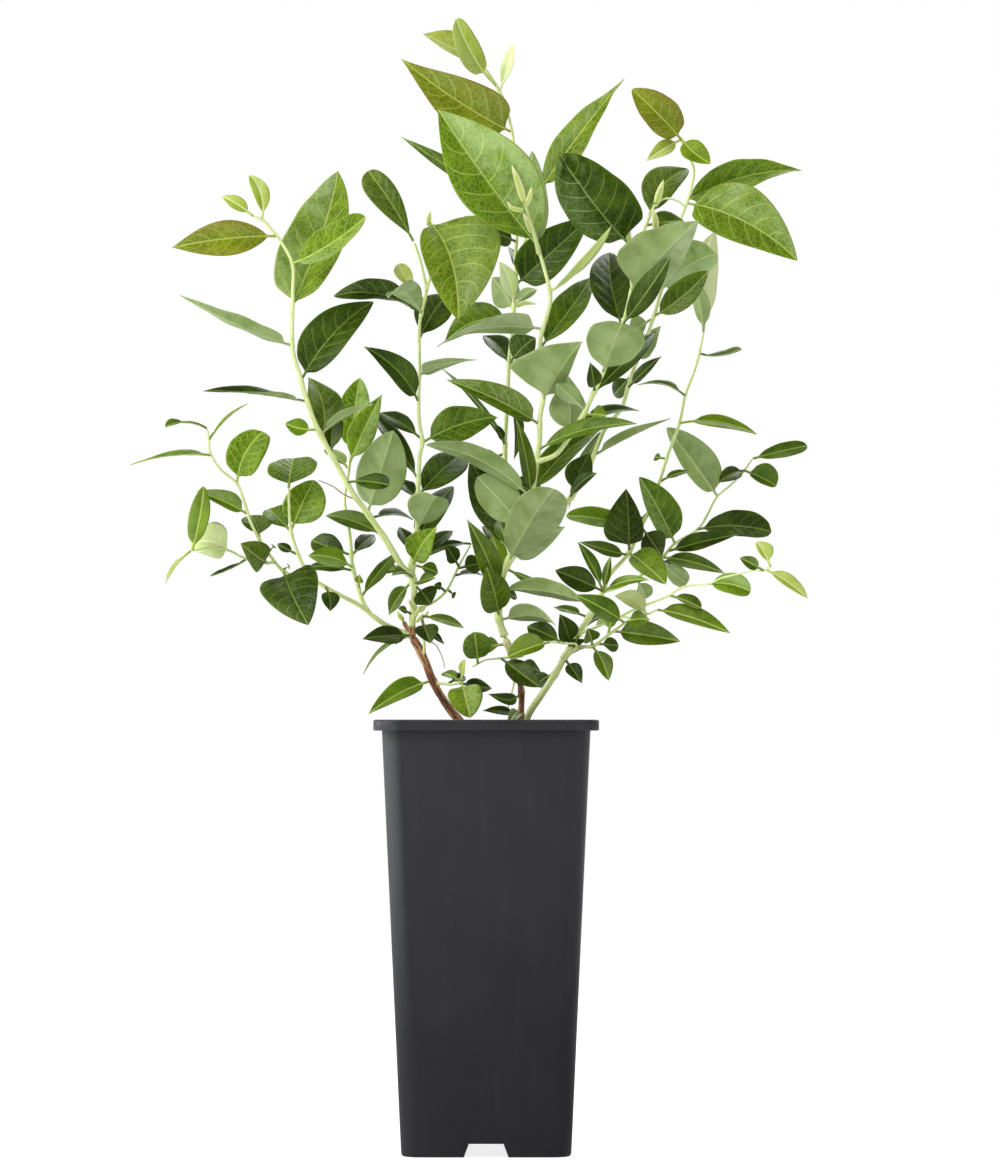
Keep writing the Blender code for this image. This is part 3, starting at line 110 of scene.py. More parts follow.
# Front view x, depth y and height z of each stem's route, in mm
STEMS: Dict[str, StemPlan] = {
    "cane_left": StemPlan(None, 2.9, 2.2, (
        (-12.5, 0, 203), (-12.6, 0, 214), (-17, -1, 219.5), (-22.5, -2, 227.5), (-26.5, -3, 235),
        (-30, -4, 244), (-33.5, -5, 251.5), (-37.2, -5, 257.2),), bark=0.125),
    "stub_left": StemPlan("cane_left", 1.7, 1.3, (
        (-37.2, -5, 257.2), (-39.5, -4, 261.5), (-41.2, -3.5, 264.6),), bark=0.05),
    "shoot_left_tall": StemPlan("cane_left", 1.75, 0.7, (
        (-37.2, -5, 257.2), (-36.4, -6, 266), (-35.6, -7, 278), (-36.6, -8, 290), (-34.4, -9, 308),
        (-33.7, -10, 328.6), (-33, -11, 345.4), (-31.6, -12, 352.6), (-33.2, -12, 363),
        (-33.6, -13, 373), (-33, -14, 386), (-33.3, -15, 405), (-32.6, -16, 414),
        (-29.8, -17, 427.5),
        (-31.4, -18, 437), (-33.3, -19, 444.6), (-36, -20, 452),), bark=0.007),
    "tip_left_tall": StemPlan("shoot_left_tall", 0.75, 0.5, (
        (-29.8, -17, 427.5), (-27.6, -18, 436), (-27.8, -20, 450), (-28.6, -22, 462),)),
    "leader_left": StemPlan("shoot_left_tall", 1.6, 0.7, (
        (-36.8, -8, 287), (-41.5, -11, 291), (-49.8, -17, 304.7), (-59.4, -24, 318.5),
        (-66.6, -30, 328.6), (-73.5, -35, 341), (-79.5, -40, 351.8), (-84.5, -45, 362),
        (-88.6, -49, 373), (-92, -53, 385), (-95.6, -57, 397.5), (-96, -60, 411.5),
        (-95.6, -62, 428),
        (-95.8, -63, 440.6), (-100.6, -65, 450.6), (-106.5, -67, 458.2), (-110.4, -68, 462.4),
        (-115.3, -69, 464.6),)),
    "shoot_left_low": StemPlan("cane_left", 1.35, 0.6, (
        (-37.2, -5, 257.2), (-45, -8, 260.5), (-52, -12, 264), (-62.9, -20, 272.2),
        (-73.4, -29, 277.8), (-84.1, -38, 284.2), (-89.5, -44, 290.6), (-93.2, -48, 298),
        (-96.4, -52, 308.9), (-97.4, -56, 320), (-97.6, -60, 330),)),
    "twig_left_outer": StemPlan("shoot_left_low", 0.95, 0.45, (
        (-84.1, -38, 284.2), (-92, -46, 286), (-100, -54, 288.8), (-107.8, -63, 298),
        (-112.3, -69, 305), (-116.8, -76, 314.5), (-119.4, -82, 323), (-123.2, -88, 332.3),
        (-131.5, -96, 339.5), (-136.3, -101, 347.5), (-137, -104, 354), (-138, -106, 359.6),)),
    "spur_left_outer": StemPlan("twig_left_outer", 0.7, 0.4, (
        (-104.5, -59, 293.6), (-110, -66, 293.2), (-120.6, -74, 296), (-127, -80, 299.2),
        (-136, -88, 300.5), (-146, -96, 299),)),
    "shoot_left_inner": StemPlan("shoot_left_low", 1.05, 0.6, (
        (-58, -16, 268.6), (-61.3, -17, 274.5), (-63.8, -16, 283), (-66.2, -14, 292),
        (-67, -12, 303),
        (-68.6, -9, 315), (-70, -6, 324), (-68.4, -3, 336), (-67, 0, 346.5),)),
    "spur_left_base": StemPlan("cane_left", 0.75, 0.6, (
        (-31.2, -4.3, 247), (-30.6, -8, 251), (-31, -9, 258), (-31.8, -9, 267),)),
    "spur_centre": StemPlan("shoot_left_tall", 0.7, 0.4, (
        (-36.1, -6.4, 270), (-31, -2, 271.5), (-25, 4, 274.5), (-20, 9, 279), (-16.6, 13, 285),
        (-13.4, 17, 292), (-7.5, 22, 302.5),)),
    "spur_left_foot": StemPlan("cane_left", 0.7, 0.45, (
        (-25.4, -2.7, 233), (-22, -6, 233.6), (-17, -10, 233.2), (-12, -14, 234.4),)),
    "cane_centre": StemPlan(None, 2.2, 1.8, (
        (16.2, 4, 203), (16.4, 4, 216), (17.4, 3, 224), (16.9, 2, 232), (15, 1, 240),
        (11.5, 0, 250),
        (9, -1, 257),), bark=0.085),
    "shoot_centre": StemPlan("cane_centre", 1.7, 0.75, (
        (9, -1, 257), (6.3, -3, 265), (5, -5, 277), (7.6, -7, 285.5), (10.6, -8, 293),
        (14.4, -10, 303), (18.6, -12, 316), (22.2, -14, 327.5), (24.6, -16, 341), (26.2, -18, 354),
        (26.3, -19, 364.4), (28, -20, 375), (28, -22, 388), (26.4, -24, 398), (27.4, -25, 407),
        (30.2, -26, 416), (31.6, -27, 425), (28.8, -29, 438), (24.8, -30, 451), (21, -31, 461),
        (18.6, -32, 470),)),
    "leader_back": StemPlan("shoot_centre", 1.25, 0.75, (
        (6.3, -3, 265), (7.6, 6, 285), (8.6, 17, 306), (9.5, 27, 330), (9.2, 32, 352),
        (10.3, 36, 372),
        (11.2, 39, 392), (13, 42, 412), (14, 44, 430), (14.6, 46, 450), (15.6, 47, 470),
        (14.6, 47, 490), (12.6, 46, 506), (9.4, 45, 519.5), (5.6, 44, 528), (-0.8, 42, 538),)),
    "spur_back": StemPlan("leader_back", 0.95, 0.6, (
        (14.2, 44.4, 434), (17.4, 47, 446), (21.6, 50, 462), (25.8, 52, 477),)),
    "leader_right": StemPlan("shoot_centre", 1.35, 0.6, (
        (10.6, -8, 293), (20, 2, 303.5), (31, 10, 314), (40.6, 16, 324), (50.1, 22, 338),
        (54.6, 26, 350.5), (59, 30, 360), (66.6, 34, 369.5), (69.8, 37, 379.4), (73.4, 39, 390.5),
        (78.6, 41, 403), (83, 42, 415.7), (86.2, 43, 427.5), (91, 43, 444), (96.2, 42, 463.5),
        (99.4, 40, 472), (102.6, 38, 486), (96.2, 36, 503.5),)),
    "shoot_right_inner": StemPlan("shoot_centre", 1.25, 0.6, (
        (24.9, -16.4, 343), (34, -21, 346.5), (41, -23, 355.5), (48, -24, 366.5),
        (53.2, -25, 377.5),
        (58.4, -26, 389), (63, -26, 400), (67.4, -27, 411.5), (70.4, -27, 423), (73.4, -27, 437),
        (77, -27, 454), (80.4, -27, 464), (83.6, -28, 471),)),
    "spur_right_inner": StemPlan("shoot_right_inner", 0.75, 0.6, (
        (71.9, -27, 430), (71, -23, 440), (70.4, -20, 451.5),)),
    "cane_right": StemPlan(None, 1.9, 1.4, (
        (19.4, 10, 203), (20, 10, 216.6), (27.5, 11, 228.5), (34.3, 12, 239), (39.2, 13, 247.5),
        (45.5, 14, 258), (50.6, 15, 266.5), (54.6, 17, 273), (57.6, 19, 279),)),
    "shoot_right_thin": StemPlan("cane_right", 1.1, 0.55, (
        (57.6, 19, 279), (61, 25, 287.5), (70.4, 35, 298), (76, 42, 310.4), (80.4, 48, 319),
        (85.4, 55, 333), (89.6, 60, 346.5), (95, 66, 361), (98.2, 72, 375.6), (102.4, 76, 387),
        (105.4, 80, 397.5), (108.2, 84, 413.5),)),
    "shoot_right_outer": StemPlan("cane_right", 0.95, 0.45, (
        (57.6, 19, 279), (65, 27, 281), (74, 36, 285.5), (86, 48, 294.6), (93, 56, 302.6),
        (103.6, 68, 309), (108.6, 78, 316), (113.6, 87, 325.4), (120.4, 95, 331.4),
        (126, 101, 337),
        (131.4, 107, 344.6),)),
    "twig_right_front": StemPlan("cane_right", 0.85, 0.6, (
        (39.2, 13, 247.5), (46, 12, 251.5), (52.4, 6, 252), (57.6, -2, 255.6), (63, -10, 259.6),
        (68.6, -17, 263.8),)),
    "shoot_right_low": StemPlan("cane_right", 0.7, 0.35, (
        (45.5, 14, 258), (53, 8, 261), (63, 0, 265.2), (74, -9, 270.6), (83, -17, 274),
        (90.4, -23, 277.2), (96.4, -29, 281), (103, -35, 282.3), (110, -41, 282.8),
        (116, -47, 285.6),
        (124, -55, 287.6), (131, -62, 289.2), (137, -68, 289.3), (140.6, -71, 291.4),)),
    "spur_right_low": StemPlan("shoot_right_low", 0.5, 0.4, (
        (66, -2.6, 266.7), (74, -8, 266), (80, -12, 268), (84.6, -15, 270.2),)),
    "spur_right_foot": StemPlan("cane_right", 0.6, 0.45, (
        (36.6, 12.4, 243), (44.6, 1, 252.2), (38, -7, 253.4), (31.6, -13, 254.2),)),
    "spur_centre_foot": StemPlan("cane_centre", 0.6, 0.35, (
        (13, 0.5, 246), (18, -5, 247.4), (10, -12, 246.4), (4, -16, 245.8), (-1, -18, 245),
        (-7.4, -19, 241.6),)),
}

# Stems that have grown together into one shoot, main stem first
SHOOTS: Dict[str, Tuple[str, ...]] = {
    "cane_left": ("cane_left", "stub_left", "shoot_left_tall", "tip_left_tall", "spur_centre",
                  "spur_left_foot", "spur_left_base"),
    "leader_left": ("leader_left",),
    "shoot_left_low": ("shoot_left_low",),
    "twig_left_outer": ("twig_left_outer", "spur_left_outer"),
    "shoot_left_inner": ("shoot_left_inner",),
    "cane_centre": ("cane_centre", "shoot_centre", "spur_centre_foot"),
    "leader_back": ("leader_back", "spur_back"),
    "leader_right": ("leader_right",),
    "shoot_right_inner": ("shoot_right_inner", "spur_right_inner"),
    "cane_right": ("cane_right", "shoot_right_thin", "spur_right_foot"),
    "shoot_right_outer": ("shoot_right_outer",),
    "twig_right_front": ("twig_right_front",),
    "shoot_right_low": ("shoot_right_low", "spur_right_low"),
}

# Attachment x, z, tip x, z, depth run, width, roll (mm, degrees) and tone of each leaf
LEAVES: Dict[str, Tuple[Tuple, ...]] = {
    "cane_left": (
        (-37.4, 257.4, -61.5, 255.3, -8, 11, 22, "dark"),
        (-37.2, 257, -60.7, 238.3, 10, 8, 55, "mid"),
        (-37.2, 257.1, -44.8, 253, 6, 4, 40, "dark"),
        (-26.8, 235, -58.2, 218.5, -10, 12, 22, "bright"),
    ),
    "shoot_left_tall": (
        (-37, 291, -24, 311, -14, 16, 15, "bright"),
        (-33.8, 373, -60.5, 400, -10, 13, 20, "dark"),
        (-33.2, 385.6, -5, 393.5, -12, 13, 125, "under"),
        (-27, 415, -49.5, 426.8, -16, 15, 140, "under"),
        (-32.8, 417, -75.5, 425, 6, 17, 38, "dark"),
        (-31, 423, -43.3, 441, 6, 9, 20, "lime"),
        (-36, 452, -58.5, 487, 8, 18, 15, "mid"),
        (-33.4, 403.5, -18, 426, 14, 20, 15, "dark"),
        (-31.5, 354.5, -53, 367.3, 14, 10, 30, "dark"),
        (-31.6, 352.8, 5.5, 365, 10, 20, 18, "mid"),
        (-33.5, 326, -12, 346.5, 12, 17, 22, "dark"),
        (-33.8, 324, -42.8, 335, 10, 9, 30, "dark"),
        (-33.4, 334, -62, 374, 24, 11, 20, "dark"),
        (-34.3, 309, -25, 326, -16, 21, 160, "under"),
        (-35.2, 302, -16.5, 331, 16, 14, 20, "dark"),
        (-36.2, 296, -43, 310.5, 12, 8, 25, "dark"),
        (-36.3, 293, -16.5, 309, 16, 9, 28, "dark"),
        (-36.3, 292, -24, 288, -10, 8, 15, "mid"),
        (-36, 285.4, -47, 286.3, -14, 8, 55, "mid"),
        (-35.9, 282.6, -25, 285.5, -10, 9, 50, "mid"),
        (-36, 283, -27.5, 272.5, 12, 15, 20, "dark"),
        (-36, 284.6, -48.5, 267.5, 6, 10, 35, "mid"),
        (-36.4, 267, -43.6, 270.6, -6, 5, 40, "dark"),
    ),
    "tip_left_tall": (
        (-28.6, 462, -14, 416, -34, 36, 8, "bright"),
    ),
    "leader_left": (
        (-41, 287, -54, 288.5, -6, 7, 35, "bright"),
        (-53, 305, -79.5, 316.5, -12, 12, 35, "mid"),
        (-57, 318, -46, 358.5, 8, 25, 175, "under"),
        (-70, 332.5, -48, 331.5, -16, 10, 30, "dark"),
        (-58, 315, -36, 315.5, 14, 10, 62, "dark"),
        (-80, 355, -88, 384.8, 14, 18, 20, "mid"),
        (-82, 357, -56, 371.5, -14, 12, 118, "under"),
        (-89.5, 372, -140, 378, -10, 13, 72, "dark"),
        (-86, 358, -99.5, 362, 10, 10, 25, "bright"),
        (-76, 346.5, -73, 368, 14, 14, 25, "dark"),
        (-91.8, 383, -56, 423, 12, 22, 12, "dark"),
        (-96, 400, -151.3, 425.5, -12, 17, 118, "under"),
        (-95.6, 420, -73.5, 487, 16, 33, 14, "bright"),
        (-95.7, 441.5, -58.7, 463.5, -14, 18, 24, "bright"),
        (-104, 455, -155.6, 449, -12, 18, 10, "young"),
        (-115, 464.6, -131, 475, 4, 8, 20, "lime"),
        (-111, 463, -117, 485, 6, 9, 20, "lime"),
    ),
    "shoot_left_low": (
        (-97.6, 330, -95.2, 344.6, 22, 24, 10, "mid"),
        (-96.4, 309, -85, 334, 8, 20, 12, "bright"),
        (-96.2, 308, -107.6, 320, 12, 15, 15, "mid"),
        (-92.8, 297, -103.3, 302.5, -4, 5, 20, "dark"),
        (-79.6, 281.5, -77, 269.5, -8, 10, 20, "dark"),
    ),
    "twig_left_outer": (
        (-100, 288.6, -88, 262.5, -26, 31, 8, "dark"),
        (-112, 304.5, -116.4, 316.5, 10, 17, 25, "mid"),
        (-107.8, 298, -104.5, 301.5, -3, 4, 30, "dark"),
        (-117.6, 316.8, -143.2, 328.4, -8, 10, 30, "bright"),
        (-123.2, 332.6, -110.2, 357.8, 8, 18, 8, "bright"),
        (-137, 354, -118, 371.8, -8, 9, 68, "olive"),
        (-138, 359.6, -158.6, 360.2, -8, 9, 70, "mid"),
        (-135.6, 346.5, -176, 341.5, -10, 10, 72, "bright"),
        (-101, 289, -97, 291.5, 4, 4, 20, "mid"),
    ),
    "spur_left_outer": (
        (-108.5, 293.2, -121.2, 302.6, -8, 15, 15, "mid"),
        (-118, 295.3, -136.3, 286.5, -6, 9, 68, "dark"),
        (-127, 299.3, -146.5, 303, -8, 18, 12, "pale"),
        (-145, 299.2, -139.6, 331, 8, 11, 14, "bright"),
        (-146, 299, -158.5, 283, -8, 8, 62, "lime"),
    ),
    "shoot_left_inner": (
        (-61.4, 276, -44, 298, 10, 13, 32, "mid"),
        (-62.5, 280.5, -62.5, 287.5, -6, 5, 10, "bright"),
        (-66, 290.8, -87.3, 297, -12, 11, 22, "bright"),
        (-66.6, 296.5, -86.5, 304.4, 12, 13, 20, "dark"),
        (-66.6, 297, -55.2, 307, 12, 9, 20, "dark"),
        (-66, 289.4, -88.6, 290.6, 6, 8, 40, "dark"),
        (-67, 346.5, -62.5, 384.5, 14, 17, 10, "bright"),
        (-67.3, 342.5, -52, 376.3, -8, 15, 18, "bright"),
        (-67.6, 339, -80, 349, 8, 9, 45, "bright"),
    ),
    "spur_left_base": (
        (-31.8, 266.8, -11.2, 261, -6, 8, 50, "mid"),
        (-31.6, 264.8, -27.6, 253.5, -10, 13, 15, "dark"),
        (-31.4, 262, -21, 253, 8, 5, 40, "dark"),
    ),
    "spur_centre": (
        (-13.6, 291.6, -20, 301.6, -6, 9, 20, "dark"),
        (-14.2, 290.4, -2, 293, 8, 11, 20, "dark"),
        (-7.6, 302.4, -30.5, 296.4, -10, 8, 50, "dark"),
        (-15.8, 286.6, -1, 287.6, 6, 6, 60, "dark"),
        (-20, 279, -25.6, 282.6, -4, 5, 40, "dark"),
        (-19, 280, -15.8, 276, 4, 4, 30, "dark"),
    ),
    "spur_left_foot": (
        (-12.4, 234.2, -8, 216.8, -12, 18, 5, "bright"),
        (-14, 233.8, 2.6, 231, 8, 8, 30, "dark"),
        (-12, 234.4, -10.4, 245.6, -6, 7, 60, "lime"),
        (-13, 234, -21.5, 239, 10, 8, 45, "mid"),
        (-19, 233.4, -10, 236.6, 12, 6, 20, "dark"),
    ),
    "cane_centre": (
        (10.6, 253, -3.4, 251, 10, 9, 25, "mid"),
        (16.6, 229.5, 1, 228.4, -14, 7, 20, "dark"),
        (16.4, 218.5, -1.6, 220.5, -12, 6, 35, "dark"),
        (16.4, 217.6, 11, 213.4, -34, 7, 20, "mid"),
        (14, 243, 27, 239, 12, 8, 40, "dark"),
    ),
    "shoot_centre": (
        (6.3, 265, 34.2, 262, -26, 14, 128, "under"),
        (6.2, 266.4, 0, 291, -8, 16, 20, "mid"),
        (5, 279, 15, 275.8, 8, 7, 30, "dark"),
        (5.6, 280, 48, 273.5, -20, 14, 132, "under"),
        (5.4, 280.5, -9.6, 314.6, -16, 13, 20, "mid"),
        (7.6, 285.5, 3, 306.8, 10, 10, 22, "bright"),
        (10.8, 293.5, 33, 329.6, -30, 27, 166, "under"),
        (11.2, 294, 38.4, 311, 10, 17, 160, "under"),
        (17.2, 311, -4.4, 335.5, 6, 21, 165, "under"),
        (12, 297, 6, 316, 8, 9, 20, "mid"),
        (9.8, 290.5, 43, 277.5, 8, 10, 45, "mid"),
        (22, 326.5, 14.5, 364, 8, 9, 22, "mid"),
        (22.3, 328, 57, 359.5, 14, 17, 15, "mid"),
        (21.8, 326, -30, 351.5, -14, 18, 138, "under"),
        (25.7, 349, 74.5, 361.5, -8, 14, 50, "mid"),
        (26.3, 361.4, -19.5, 383.5, -12, 17, 18, "mid"),
        (28, 373, 47.4, 402.6, -24, 29, 165, "under"),
        (26.6, 399, 52, 434.4, 16, 18, 18, "mid"),
        (27.6, 408.5, -24.5, 400, -20, 20, 128, "under"),
        (31.4, 427, 61.6, 459.5, -12, 9, 118, "lime"),
        (25, 450.5, -24, 517.5, -8, 40, 10, "bright"),
        (25.4, 449, 22.5, 497, 10, 18, 160, "under"),
    ),
    "leader_back": (
        (8.4, 303, -8, 345, 18, 16, 15, "dark"),
        (8, 296, -2, 312, 16, 8, 20, "dark"),
        (9.2, 333, 28, 322, 18, 16, 30, "dark"),
        (10.6, 379, 14.8, 345, -8, 8, 50, "dark"),
        (9.1, 351, 4, 362, -4, 5, 30, "dark"),
        (11.2, 391, -1.5, 406.5, 6, 14, 20, "dark"),
        (11.2, 391, 24, 404.5, 10, 16, 22, "dark"),
        (13.2, 414, -20.6, 402, 12, 17, 25, "mid"),
        (13.4, 417, 2.6, 434.4, 10, 16, 165, "under"),
        (14, 430, 51.5, 464.6, 12, 21, 12, "dark"),
        (13.6, 421, 6, 442.4, 3, 10, 20, "pale"),
        (13.5, 420, 25, 428.6, -6, 7, 150, "under"),
        (14.7, 452, 1, 457, -12, 13, 20, "dark"),
        (14, 436, 10.8, 449.4, 8, 6, 30, "dark"),
        (15.5, 468, -42.2, 504, 8, 15, 35, "mid"),
        (12.8, 506, -42.6, 543, -14, 26, 12, "young"),
        (-0.8, 538, -31.6, 555, -6, 20, 14, "lime"),
        (6.6, 526.4, 13.2, 550, 6, 7, 25, "pale"),
        (4.6, 529.5, -15, 562.6, 10, 13, 20, "lime"),
        (9.2, 352, -23, 390, 22, 7, 60, "under"),
        (9, 347, -4.6, 340, 12, 12, 20, "dark"),
    ),
    "spur_back": (
        (25.8, 477, 68, 532.6, 8, 18, 30, "bright"),
    ),
    "leader_right": (
        (53.4, 346, 90.8, 364.5, 6, 13, 112, "under"),
        (42, 326, 51, 347.4, 14, 15, 15, "dark"),
        (41.6, 325.4, 53.8, 337.6, -8, 8, 45, "dark"),
        (72, 386.8, 62.8, 376, -8, 10, 20, "dark"),
        (69.8, 379.4, 86.6, 395, -10, 8, 40, "dark"),
        (74, 391.6, 85.4, 410, 8, 10, 150, "under"),
        (82.6, 414, 70.6, 407.5, -8, 12, 150, "under"),
        (82.8, 415, 109.6, 437.4, -12, 16, 15, "mid"),
        (86.2, 427.5, 113.4, 446, 14, 20, 150, "under"),
        (99, 471, 153.8, 442.6, -16, 28, 12, "bright"),
        (99.6, 472.6, 155.8, 487.2, 20, 22, 30, "bright"),
        (96.6, 502, 72, 527.6, -8, 18, 8, "young"),
        (96.4, 503, 79, 492.4, -4, 9, 20, "lime"),
        (96.6, 503.4, 110.6, 490.6, -8, 13, 18, "olive"),
        (60.6, 362, 39, 320.6, -10, 10, 60, "mid"),
    ),
    "shoot_right_inner": (
        (41, 355.5, 41, 385.5, -10, 20, 165, "under"),
        (49, 368, 34.6, 381.5, -12, 11, 150, "under"),
        (48.4, 367, 59.4, 365.8, 12, 10, 30, "bright"),
        (57.2, 386.6, 67, 411.4, -20, 29, 170, "under"),
        (53.3, 377.6, 51, 392.5, 10, 9, 20, "dark"),
        (53.1, 377, 84, 407.6, 10, 12, 25, "dark"),
        (46.4, 364, 75.6, 369.6, 14, 9, 50, "dark"),
        (67.4, 411.5, 90.6, 444.6, 14, 13, 20, "dark"),
        (67.2, 410.6, 61, 446.5, 16, 22, 12, "dark"),
        (71.4, 427.5, 105, 462.4, -20, 27, 168, "under"),
        (80.4, 464, 99.8, 488, 8, 17, 20, "mid"),
        (79, 460, 97.4, 462, 12, 13, 30, "mid"),
    ),
    "spur_right_inner": (
        (70.4, 451, 38, 495.5, -10, 32, 8, "dark"),
    ),
    "cane_right": (
        (57.6, 279, 34.4, 289.6, -8, 13, 15, "dark"),
        (57.6, 279, 45, 303.4, 10, 8, 30, "mid"),
        (57.4, 278.6, 80, 285, -14, 7, 40, "bright"),
        (57.6, 279, 61.4, 296.5, -6, 5, 20, "mid"),
        (46.4, 259.4, 61.6, 268.2, 14, 9, 62, "dark"),
        (45.5, 258, 43.4, 251.2, -14, 10, 20, "dark"),
        (41, 251, 36, 268, -10, 12, 20, "dark"),
        (50.4, 266.2, 33.2, 271, 6, 8, 55, "mid"),
        (38, 246, 47.2, 234, -8, 9, 20, "dark"),
        (33.6, 238, 25.4, 232.6, 8, 8, 20, "dark"),
    ),
    "shoot_right_thin": (
        (108.2, 413.5, 113, 457, 14, 18, 168, "pale"),
        (107, 407.5, 100.4, 436, -10, 10, 150, "under"),
        (105.2, 396.4, 125.8, 399, 8, 8, 65, "mid"),
        (98.2, 375.6, 74.4, 381, -8, 8, 62, "mid"),
        (95.6, 362.4, 133.6, 356.6, -14, 10, 50, "olive"),
        (89, 344.6, 82.6, 344.8, 6, 5, 20, "mid"),
        (85.3, 333, 101.4, 338.6, 8, 6, 50, "mid"),
        (80, 318.4, 76, 311.6, 6, 4, 30, "dark"),
        (70.2, 298, 69, 329.8, 14, 19, 10, "dark"),
        (69.6, 296.6, 46, 303.4, -16, 9, 35, "mid"),
        (70.4, 298, 88.6, 282.6, -28, 14, 12, "bright"),
        (76.2, 311, 87, 296, -6, 15, 15, "dark"),
        (70.6, 312, 39.3, 316.3, -14, 13, 35, "bright"),
    ),
    "shoot_right_outer": (
        (93, 302.6, 75.4, 335.6, -10, 17, 15, "mid"),
        (90, 299, 123.4, 307.6, -10, 11, 30, "dark"),
        (104, 309.6, 140.6, 308.4, -6, 15, 22, "dark"),
        (113.8, 326, 89, 360, 10, 24, 165, "under"),
        (87, 296, 118, 287.4, -18, 9, 20, "mid"),
        (86, 294.6, 99, 283, -12, 10, 165, "under"),
        (85, 293.8, 97.8, 288, 10, 6, 30, "dark"),
        (74, 285.5, 78.6, 275.5, -12, 10, 160, "under"),
        (131.2, 344.4, 158.4, 351, 8, 9, 20, "mid"),
        (127, 338.6, 143, 331, -4, 13, 25, "mid"),
        (127, 338.5, 114.8, 333, -8, 9, 20, "dark"),
    ),
    "twig_right_front": (
        (68.4, 263.6, 44, 277.6, -8, 12, 18, "mid"),
        (68.6, 263.8, 80.6, 265, -10, 9, 20, "bright"),
        (62.8, 259.4, 95.6, 254.4, -14, 13, 12, "mid"),
        (60, 257.4, 63, 268, 10, 7, 30, "bright"),
        (52, 252, 49.6, 261, -10, 10, 15, "mid"),
        (54, 253.2, 65.2, 252, 8, 8, 22, "dark"),
        (52, 252, 60.4, 235.4, -12, 10, 20, "mid"),
        (50, 251.9, 36.4, 246.4, 20, 7, 55, "mid"),
    ),
    "shoot_right_low": (
        (90.4, 277.2, 106, 270.6, 6, 7, 25, "mid"),
        (110, 282.8, 130.4, 279, -8, 12, 20, "bright"),
        (137, 289.3, 125, 295.6, -6, 7, 20, "mid"),
        (140.4, 291.4, 133.4, 303.6, 6, 8, 20, "lime"),
        (138, 289.8, 158.6, 275.6, -6, 7, 25, "lime"),
        (63, 265.2, 54.4, 263, 8, 6, 150, "under"),
    ),
    "spur_right_low": (
        (84.4, 270.2, 120.2, 258.4, -12, 10, 22, "bright"),
        (79, 267.6, 62.4, 278.4, -14, 10, 150, "lime"),
    ),
    "spur_right_foot": (
        (31.8, 254.2, 10.4, 246.6, -8, 11, 22, "bright"),
        (38, 253.4, 20, 262, 12, 11, 20, "dark"),
    ),
    "spur_centre_foot": (
        (-4.6, 244, -6, 259, -8, 15, 10, "mid"),
        (7, 246.2, 26.4, 231.6, -10, 13, 20, "dark"),
    ),
}


def in_space(x: float, y: float, z: float) -> Array:
    """Carry a front-view position to its true place.

    The point slides along the line of sight from EYE until it is at depth y:
    P = EYE + (front - EYE) * (1 + y / viewing distance).

    Args:
        x: Place to the right, in mm, in the plane through the pot's middle.
        y: Depth in mm, away from the viewer.
        z: Height in mm in the same plane.

    Returns:
        The point in metres.
    """
    front = np.array([x * MM, 0.0, (z - TABLE_FLOOR) * MM])
    return EYE + (front - EYE) * (1.0 + y * MM / -EYE[1])


def cells(index: Array) -> Array:
    """Corners of the cells of a grid of point indices."""
    return np.stack([index[:-1, :-1], index[:-1, 1:], index[1:, 1:], index[1:, :-1]], -1)


def band(first: Array, second: Array) -> Array:
    """Corners of the faces between two closed rings, or two stacks of rings, of indices."""
    return np.stack([first, np.roll(first, -1, -1), np.roll(second, -1, -1), second], -1)


def layered(shape: Tuple[int, ...], *parts: object) -> Array:
    """Stack numbers or arrays, each spread over the whole shape, along a new last axis."""
    return np.stack([np.broadcast_to(part, shape) for part in parts], -1)


def resampled(rows: Array, count: int) -> Array:
    """Read off a table of rows at evenly spread places."""
    places = np.linspace(0, len(rows) - 1, count)
    return np.stack([np.interp(places, np.arange(len(rows)), column) for column in rows.T], 1)


def cross_frames(route: Array, upright: Sequence[float] = TILTED) -> Tuple[Array, Array]:
    """Two unit vectors square to a route at each of its points.

    Args:
        route: Points of the middle line.
        upright: The first vector is square to this direction too.
    """
    ahead = np.gradient(route, axis=0)
    ahead /= np.linalg.norm(ahead, axis=1)[:, None]
    side = np.cross(ahead, upright)
    side /= np.linalg.norm(side, axis=1)[:, None]
    return side, np.cross(ahead, side)


def round_ways(angle: Array, side: Array, other: Array) -> Array:
    """Unit vectors at each angle round each point of a route: side cos + other sin."""
    return np.cos(angle)[:, None] * side[:, None] + np.sin(angle)[:, None] * other[:, None]


def smooth_route(points: Sequence[Array], step: float) -> Array:
    """Run a Catmull-Rom curve through points.

    Args:
        points: Points that the curve passes through.
        step: Wanted distance between the points of the result, in metres.

    Returns:
        The points of the curve, one row each.
    """
    p = np.asarray(points, float)
    ends = np.vstack([2 * p[0] - p[1], p, 2 * p[-1] - p[-2]])
    route: List[Array] = []
    for a, b, c, d in zip(ends, ends[1:], ends[2:], ends[3:]):
        count = max(1, int(round(np.linalg.norm(c - b) / step)))
        for t in np.arange(count) / count:
            route.append(0.5 * (2 * b + (c - a) * t + (2 * a - 5 * b + 4 * c - d) * t ** 2
                                + (3 * b - a - 3 * c + d) * t ** 3))
    route.append(p[-1])
    return np.array(route)


